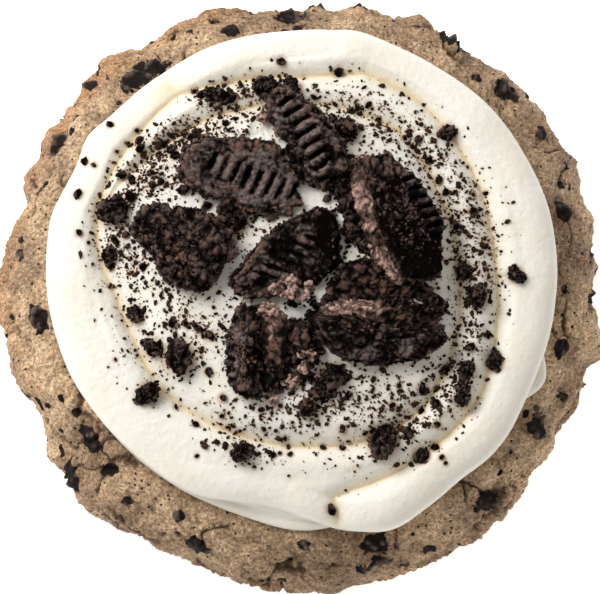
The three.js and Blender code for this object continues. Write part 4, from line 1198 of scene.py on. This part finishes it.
def cocoa_wafer(name, look):
    """Black cocoa wafer, baked hard and broken: dark brown on its skin, painted near black as shade
    and dry down in its pits, with a painted greyish sheen on the high points of its skin, and its
    breaks' brown painted lighter on their high points as a highlight, with rust-coloured specks of
    cocoa."""
    material, tree, place = new_material(name)
    fine = add_node(tree, "TexNoise", {"Vector": place, "Scale": per_metre(0.4), "Detail": 4.0,
                                       "Roughness": 0.75})
    high = add_node(tree, "Attribute", attribute_name="high").outputs["Fac"]
    # Painted shade: where the wafer stands low, in pits and creases, it is mixed to near black.
    lit = add_node(tree, "MapRange", {"Value": high, 1: 0.26, 2: 0.54})
    body = add_node(tree, "Mix", {FACTOR: lit, COLOUR_A: look.wafer_pit, COLOUR_B: look.wafer},
                    data_type="RGBA")
    # Painted sheen and highlight: where it stands high it is mixed to a greyish sheen on skin and a
    # lighter brown on breaks.
    wear_and_sheen = add_node(tree, "MapRange", {"Value": high, 1: 0.54, 2: 0.9})
    torn = add_node(tree, "Attribute", attribute_name="torn").outputs["Fac"]
    crest = add_node(tree, "Mix", {FACTOR: torn, COLOUR_A: look.wafer_sheen,
                                   COLOUR_B: look.wafer_crumb_highlight}, data_type="RGBA")
    with_sheen = add_node(tree, "Mix", {FACTOR: wear_and_sheen, COLOUR_A: body, COLOUR_B: crest},
                      data_type="RGBA")
    grain = add_node(tree, "MapRange", {"Value": fine, 1: 0.34, 2: 0.66, 3: 0.4, 4: 1.7})
    grained = add_node(tree, "VectorMath", {0: with_sheen, "Scale": grain}, operation="SCALE")
    # Rusty grains of a few tenths of a millimetre, in patches and only where the wafer stands out.
    spots = add_node(tree, "TexNoise", {"Vector": place, "Scale": per_metre(0.5), "Detail": 2.0,
                                        "Distortion": 0.4})
    near = add_node(tree, "MapRange", {"Value": spots, 1: 0.58, 2: 0.64})
    patches = add_node(tree, "TexNoise", {"Vector": place, "Scale": per_metre(3.5)})
    few = add_node(tree, "MapRange", {"Value": patches, 1: 0.48, 2: 0.66, 3: 0.06})
    proud = add_node(tree, "Math", {0: few, 1: lit}, operation="MULTIPLY")
    rust = add_node(tree, "Math", {0: near, 1: proud}, operation="MULTIPLY")
    colour = add_node(tree, "Mix", {FACTOR: rust, COLOUR_A: grained, COLOUR_B: look.cocoa_speck},
                      data_type="RGBA")
    gloss = add_node(tree, "MapRange", {"Value": high, 1: 0.3, 2: 0.75, 3: 0.9, 4: 0.34})
    # No sheen comes out of the pits, which see little of the sky.
    sheen = add_node(tree, "MapRange", {"Value": high, 1: 0.35, 2: 0.75, 3: 0.04, 4: 0.6})
    bump = add_node(tree, "Bump", {"Height": fine, "Distance": 0.45 * MM, "Strength": 1.0})
    shader = add_node(tree, "BsdfPrincipled", {
        "Base Color": colour, "Roughness": gloss, "IOR": 1.45, "Specular IOR Level": sheen,
        "Normal": bump})
    finish_material(tree, shader)
    return material


def cocoa_dust(look):
    """Fine crumbs of cocoa wafer, soaked at their edges by the frosting's fat: matt, from near
    black to a translucent red-brown."""
    material, tree, _ = new_material("fine_cocoa_crumb")
    tone = add_node(tree, "Attribute", attribute_name="tone").outputs["Fac"]
    colour = add_node(tree, "Mix", {FACTOR: tone, COLOUR_A: look.dust_dark,
                                    COLOUR_B: look.dust_warm}, data_type="RGBA")
    shader = add_node(tree, "BsdfPrincipled", {
        "Base Color": colour, "Roughness": 0.8, "IOR": 1.45, "Specular IOR Level": 0.2})
    finish_material(tree, shader)
    return material


def sugar_filling(look):
    """Sugar and fat filling from a sandwich biscuit, smeared and full of cocoa crumbs: grainy and
    matt, dull pink-brown on its high places and dark between them, partly from its crumbs and
    partly as painted shade. Where crumbs cover it, they are painted near black low down and lighter
    on top."""
    material, tree, place = new_material("crumbed_sugar_filling")
    lumps = add_node(tree, "TexNoise", {"Vector": place, "Scale": per_metre(0.9), "Detail": 4.0,
                                        "Roughness": 0.7})
    high = add_node(tree, "Attribute", attribute_name="high").outputs["Fac"]
    # Painted shade, with the real dark of crumbs in it: the filling's low places are mixed to its
    # dark colour.
    level = add_node(tree, "MapRange", {"Value": high, 1: 0.15, 2: 0.6})
    mixed = add_node(tree, "MapRange", {"Value": lumps, 1: 0.4, 2: 0.56})
    shown = add_node(tree, "Math", {0: level, 1: mixed}, operation="MULTIPLY")
    cream = add_node(tree, "Mix", {FACTOR: shown, COLOUR_A: look.filling_dark,
                                   COLOUR_B: look.filling}, data_type="RGBA")
    # Painted shade and highlight on the crumbs that cover it: near black where low, lighter brown
    # where high.
    crest = add_node(tree, "MapRange", {"Value": high, 1: 0.4, 2: 1.0})
    crumbs = add_node(tree, "Mix", {FACTOR: crest, COLOUR_A: look.wafer_pit,
                                    COLOUR_B: look.wafer_crumb_highlight}, data_type="RGBA")
    bare = add_node(tree, "Attribute", attribute_name="bare").outputs["Fac"]
    colour = add_node(tree, "Mix", {FACTOR: bare, COLOUR_A: crumbs, COLOUR_B: cream},
                      data_type="RGBA")
    bump = add_node(tree, "Bump", {"Height": lumps, "Distance": 0.2 * MM, "Strength": 0.8})
    shader = add_node(tree, "BsdfPrincipled", {
        "Base Color": colour, "Roughness": 0.7, "IOR": 1.45, "Specular IOR Level": 0.3,
        "Subsurface Weight": 0.15, "Subsurface Radius": (1, 0.6, 0.5),
        "Subsurface Scale": 0.5 * MM, "Normal": bump})
    finish_material(tree, shader)
    return material


# ---- Settings, operators and panel ----------------------------------------------------------


def length(name, description, default_mm):
    """A length setting, given in millimetres and kept in metres."""
    return bpy.props.FloatProperty(name=name, description=description, default=default_mm * MM,
                                   min=0, subtype="DISTANCE", unit="LENGTH", precision=5)


def colour(name, description, default_hex):
    """A colour setting, given as an sRGB hex value and kept linear."""
    return bpy.props.FloatVectorProperty(name=name, description=description, size=3, min=0, max=1,
                                         default=linear(default_hex), subtype="COLOR")


class CookieForm(bpy.types.PropertyGroup):
    """Sizes of the cookie's relief and toppings."""

    lump_height: length("Lump height", "How far the dough's lumps stand out", 1.9)
    grain_height: length("Grain height", "How far the dough's crumb stands out", 0.42)
    groove_depth: length("Groove depth", "Depth of the groove between frosting coils", 1.6)
    ridge_height: length("Ridge height", "Height of the ridges on the wafers", 0.55)
    dust_amount: bpy.props.FloatProperty(name="Fine crumbs", default=1, min=0, max=1.5,
                                         description="Share of the usual number of fine crumbs")
    seed: bpy.props.IntProperty(name="Seed", default=11, min=0,
                                description="Seed of every random draw")


class CookieLook(bpy.types.PropertyGroup):
    """Colours of the cookie's doughs, frosting and wafers."""

    dough: colour("Dough", "Baked dough", "D8B995")
    dough_grey: colour("Grey dough", "Dough that cocoa has bled into", "A68B70")
    dough_toasted: colour("Toasted dough", "Browned edge of the dough", "B4855A")
    dough_bled: colour("Dull dough", "Dough at the sides where most cocoa bled", "84694F")
    dough_crease: colour("Dough crease", "Dough down in its creases", "523A2A")
    baked_bit: colour("Baked bit", "Wafer bits baked into the dough", "1C120D")
    baked_crest: colour("Baked bit crest", "High places of the baked-in bits", "66544A")
    frosting: colour("Frosting", "Frosting on the crests", "F3EFE6")
    frosting_groove: colour("Frosting groove", "Frosting down in the grooves", "E6D3AC")
    frosting_halo: colour("Frosting halo", "Frosting stained by a crumb", "BE9260")
    wafer: colour("Wafer", "Moulded wafer skin", "241A17")
    wafer_pit: colour("Wafer pit", "Pits and creases in a wafer", "0C0706")
    wafer_sheen: colour("Wafer crest", "Worn high places of a wafer's moulded skin", "7C6B64")
    wafer_crumb_highlight: colour("Wafer crumb", "High places of a wafer's broken sides", "6C4D40")
    cocoa_speck: colour("Cocoa speck", "Rusty grains in the wafer", "8C5D48")
    dust_dark: colour("Dark dust", "Fine crumbs of wafer", "1C110C")
    dust_warm: colour("Warm dust", "Fine crumbs soaked by the frosting", "855630")
    filling: colour("Filling", "Filling on its high places", "BE9A8C")
    filling_dark: colour("Dark filling", "Filling full of wafer crumbs", "46342E")


class CookieStage(bpy.types.PropertyGroup):
    """The photograph's view and light."""

    elevation: bpy.props.FloatProperty(name="Elevation", default=math.radians(79),
                                       subtype="ANGLE", unit="ROTATION",
                                       description="The camera's angle above the floor")
    distance: length("Distance", "From the camera to the cookie", 750)
    key_power: bpy.props.FloatProperty(name="Key light", default=3.5, min=0, subtype="POWER",
                                       unit="POWER", description="Power of the large soft light")
    fill: bpy.props.FloatProperty(name="Fill light", default=0.46, min=0,
                                  description="Strength of the even light all round")
    floor: colour("Floor", "The plain pale floor", "F2F2F2")


class COOKIE_OT_biscuit(bpy.types.Operator):
    """Build the baked biscuit and the wafer bits baked into it"""

    bl_idname = "cookie.biscuit"
    bl_label = "Biscuit"

    def execute(self, context):
        form, look = context.scene.cookie_form, context.scene.cookie_look
        grid, stain, hollow = biscuit_grid(920, form.lump_height / MM, form.grain_height / MM)
        toast, bled = oven_tones(grid)
        add_piece("cookie_biscuit", grid, baked_dough(look), "biscuit", ["biscuit"],
                  cocoa=stain, hollow=hollow, toast=toast, bled=bled)
        return {"FINISHED"}


class COOKIE_OT_frosting(bpy.types.Operator):
    """Build the piped swirl of frosting"""

    bl_idname = "cookie.frosting"
    bl_label = "Frosting"

    def execute(self, context):
        form, look = context.scene.cookie_form, context.scene.cookie_look
        grid, sunk = frosting_grid(720, form.groove_depth / MM)
        add_piece("cookie_frosting", grid, whipped_frosting(look), "frosting", ["frosting"],
                  groove=np.clip(0.3 * sunk ** 2 + 0.8 * sunk ** 5, 0, 1),
                  halo=crumb_halo(grid, form.seed, form.dust_amount))
        return {"FINISHED"}


class COOKIE_OT_wafer_pieces(bpy.types.Operator):
    """Build the broken sandwich biscuits, layer by layer"""

    bl_idname = "cookie.wafer_pieces"
    bl_label = "Broken sandwich biscuits"

    def execute(self, context):
        form, look = context.scene.cookie_form, context.scene.cookie_look
        wafer = cocoa_wafer("broken_cocoa_wafer", look)
        filling = sugar_filling(look)
        grids = []
        for piece in PIECES:
            top = 0
            for layer in piece["layers"]:
                main, soft = layer["part"] == "wafer", layer["part"] == "filling"
                grid, broken, high, bare = layer_grid(
                    piece, layer, top, 340 if main else 260, 64 if main else 34,
                    form.ridge_height / MM)
                name = f"{piece['name']}_{layer['part']}"
                add_piece(f"cookie_{name}", grid, filling if soft else wafer,
                          "filling" if soft else "wafer", [name], high=high, bare=bare,
                          torn=broken)
                grids.append((grid, broken * (1 - 0.6 * bare)))
                top -= layer["depth"] + GAP
        places, radii = stuck_crumbs(grids, 1500, form.seed)
        balls, high = lumpy_balls(places, radii, np.arange(len(radii)) + 0.3, 4, 6, 0.8)
        add_piece("cookie_stuck_crumbs", balls, wafer, "wafer", high=high, torn=1.0)
        return {"FINISHED"}


class COOKIE_OT_crumbs(bpy.types.Operator):
    """Scatter the crumbs of wafer and filling over the frosting"""

    bl_idname = "cookie.crumbs"
    bl_label = "Crumbs"

    def execute(self, context):
        form, look = context.scene.cookie_form, context.scene.cookie_look
        depth = form.groove_depth / MM

        def on_frosting(x, y, up):
            return np.stack([x, y, frosting_height(x, y, depth) + up], -1)

        crumb = bpy.data.materials["broken_cocoa_wafer"]
        shapes = {}
        for name, (x, y, radius, up), rings, columns, rough in (
                ("cookie_large_crumbs", lying_crumbs(LARGE_CRUMBS), 28, 48, 0.5),
                ("cookie_medium_crumbs", lying_crumbs(MEDIUM_CRUMBS), 6, 10, 0.8),
                ("cookie_crumb_piles", crumb_piles(form.seed), 6, 9, 0.8)):
            shapes[name], high = lumpy_balls(on_frosting(x, y, up), 0.9 * radius,
                                             np.arange(len(x)) + 3, rings, columns, rough)
            add_piece(name, shapes[name], crumb, "wafer", high=0.75 * high, torn=1.0)
        cores = [(ball, np.ones(ball.shape[:2])) for ball in shapes["cookie_large_crumbs"]]
        places, radii = stuck_crumbs(cores, 1300, form.seed + 2)
        balls, high = lumpy_balls(places, radii, np.arange(len(radii)) + 0.7, 4, 6, 0.9, 0.5)
        add_piece("cookie_grains_on_large_crumbs", balls, crumb, "wafer", high=0.8 * high,
                  torn=1.0)

        x, y, radius = dust(form.seed, form.dust_amount)
        places, tone = on_frosting(x, y, 0.3 * radius), dust_tone(radius, form.seed)
        fine, ground = radius < DUST_RADIUS, cocoa_dust(look)
        for name, part, rings, columns in (("cookie_crumb_dust", fine, 2, 5),
                                           ("cookie_small_crumbs", ~fine, 4, 6)):
            specks, _ = lumpy_balls(places[part], radius[part], np.flatnonzero(part) + 0.5, rings,
                                    columns, 1.1, 0.5)
            add_piece(name, specks, ground, "wafer", tone=tone[part])

        x, y, radius, up = filling_clumps(form.seed)
        balls, high = lumpy_balls(on_frosting(x, y, up), radius, np.arange(len(x)) + 77, 12, 18,
                                  0.8)
        add_piece("cookie_filling_crumbs", balls, bpy.data.materials["crumbed_sugar_filling"],
                  "filling", high=high, bare=1.0)
        return {"FINISHED"}


class COOKIE_OT_stage(bpy.types.Operator):
    """Set up the floor, the light and the photograph's camera"""

    bl_idname = "cookie.stage"
    bl_label = "Stage"

    def execute(self, context):
        scene, stage = context.scene, context.scene.cookie_stage
        mesh = bpy.data.meshes.new("stage_floor")
        reach = 3000 * MM
        mesh.from_pydata([(-reach, -reach, 0), (reach, -reach, 0), (reach, reach, 0),
                          (-reach, reach, 0)], [], [(0, 1, 2, 3)])
        floor = bpy.data.objects.new("stage_floor", mesh)
        scene.collection.objects.link(floor)
        material, tree, _ = new_material("matt_white_board")
        finish_material(tree, add_node(tree, "BsdfPrincipled", {
            "Base Color": stage.floor, "Roughness": 0.9, "Specular IOR Level": 0.1,
            "Emission Color": (1, 1, 1, 1), "Emission Strength": 0.72}))
        mesh.materials.append(material)

        world = bpy.data.worlds.new("studio")
        scene.world = world
        world.use_nodes = True
        background = world.node_tree.nodes["Background"].inputs
        background["Color"].default_value = (1, 0.98, 0.955, 1)
        background["Strength"].default_value = stage.fill
        # A square softbox, at the back and the left.
        key = bpy.data.lights.new("key_softbox", "AREA")
        key.shape, key.size, key.energy = "SQUARE", 340 * MM, stage.key_power
        softbox = bpy.data.objects.new("key_softbox", key)
        softbox.location = Vector((-340, 260, 430)) * MM
        softbox.rotation_euler = (-softbox.location).to_track_quat("-Z", "Y").to_euler()
        scene.collection.objects.link(softbox)

        # A long lens from far off, aimed a little beside the middle, as in the photograph.
        camera = bpy.data.cameras.new("photo_camera")
        camera.sensor_width, camera.lens = 36, 306.1
        view = bpy.data.objects.new("photo_camera", camera)
        back = Vector((0, -math.cos(stage.elevation), math.sin(stage.elevation)))
        upward = Vector((0, math.sin(stage.elevation), math.cos(stage.elevation)))
        aim = (Vector((0.07, 0, 4.5)) - upward * 0.22) * MM
        view.location = aim + back * stage.distance
        view.rotation_euler = (-back).to_track_quat("-Z", "Y").to_euler()
        scene.collection.objects.link(view)
        scene.camera = view
        scene.view_settings.view_transform = "Standard"
        scene.view_settings.look = "None"
        return {"FINISHED"}


class COOKIE_PT_sidebar(bpy.types.Panel):
    """Lists the cookie's settings and the steps that build it"""

    bl_idname = "COOKIE_PT_sidebar"
    bl_label = "Cookie"
    bl_space_type = "VIEW_3D"
    bl_region_type = "UI"
    bl_category = "Cookie"

    def draw(self, context):
        for group in ("cookie_form", "cookie_look", "cookie_stage"):
            settings = getattr(context.scene, group)
            box = self.layout.box()
            for key in settings.bl_rna.properties.keys():
                if key not in ("rna_type", "name"):
                    box.prop(settings, key)
        for step in STEPS:
            self.layout.operator(step.bl_idname)


GROUPS = {"cookie_form": CookieForm, "cookie_look": CookieLook, "cookie_stage": CookieStage}
STEPS = (COOKIE_OT_biscuit, COOKIE_OT_frosting, COOKIE_OT_wafer_pieces, COOKIE_OT_crumbs,
         COOKIE_OT_stage)


def register():
    for group in (*GROUPS.values(), *STEPS, COOKIE_PT_sidebar):
        bpy.utils.register_class(group)
    for name, group in GROUPS.items():
        setattr(bpy.types.Scene, name, bpy.props.PointerProperty(type=group))


def unregister():
    for name in GROUPS:
        delattr(bpy.types.Scene, name)
    for group in (COOKIE_PT_sidebar, *reversed(STEPS), *GROUPS.values()):
        bpy.utils.unregister_class(group)


def main():
    """Build the whole cookie and its stage."""
    register()
    bpy.ops.cookie.biscuit()
    bpy.ops.cookie.frosting()
    bpy.ops.cookie.wafer_pieces()
    bpy.ops.cookie.crumbs()
    bpy.ops.cookie.stage()
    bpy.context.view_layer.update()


if __name__ == "__main__":
    main()
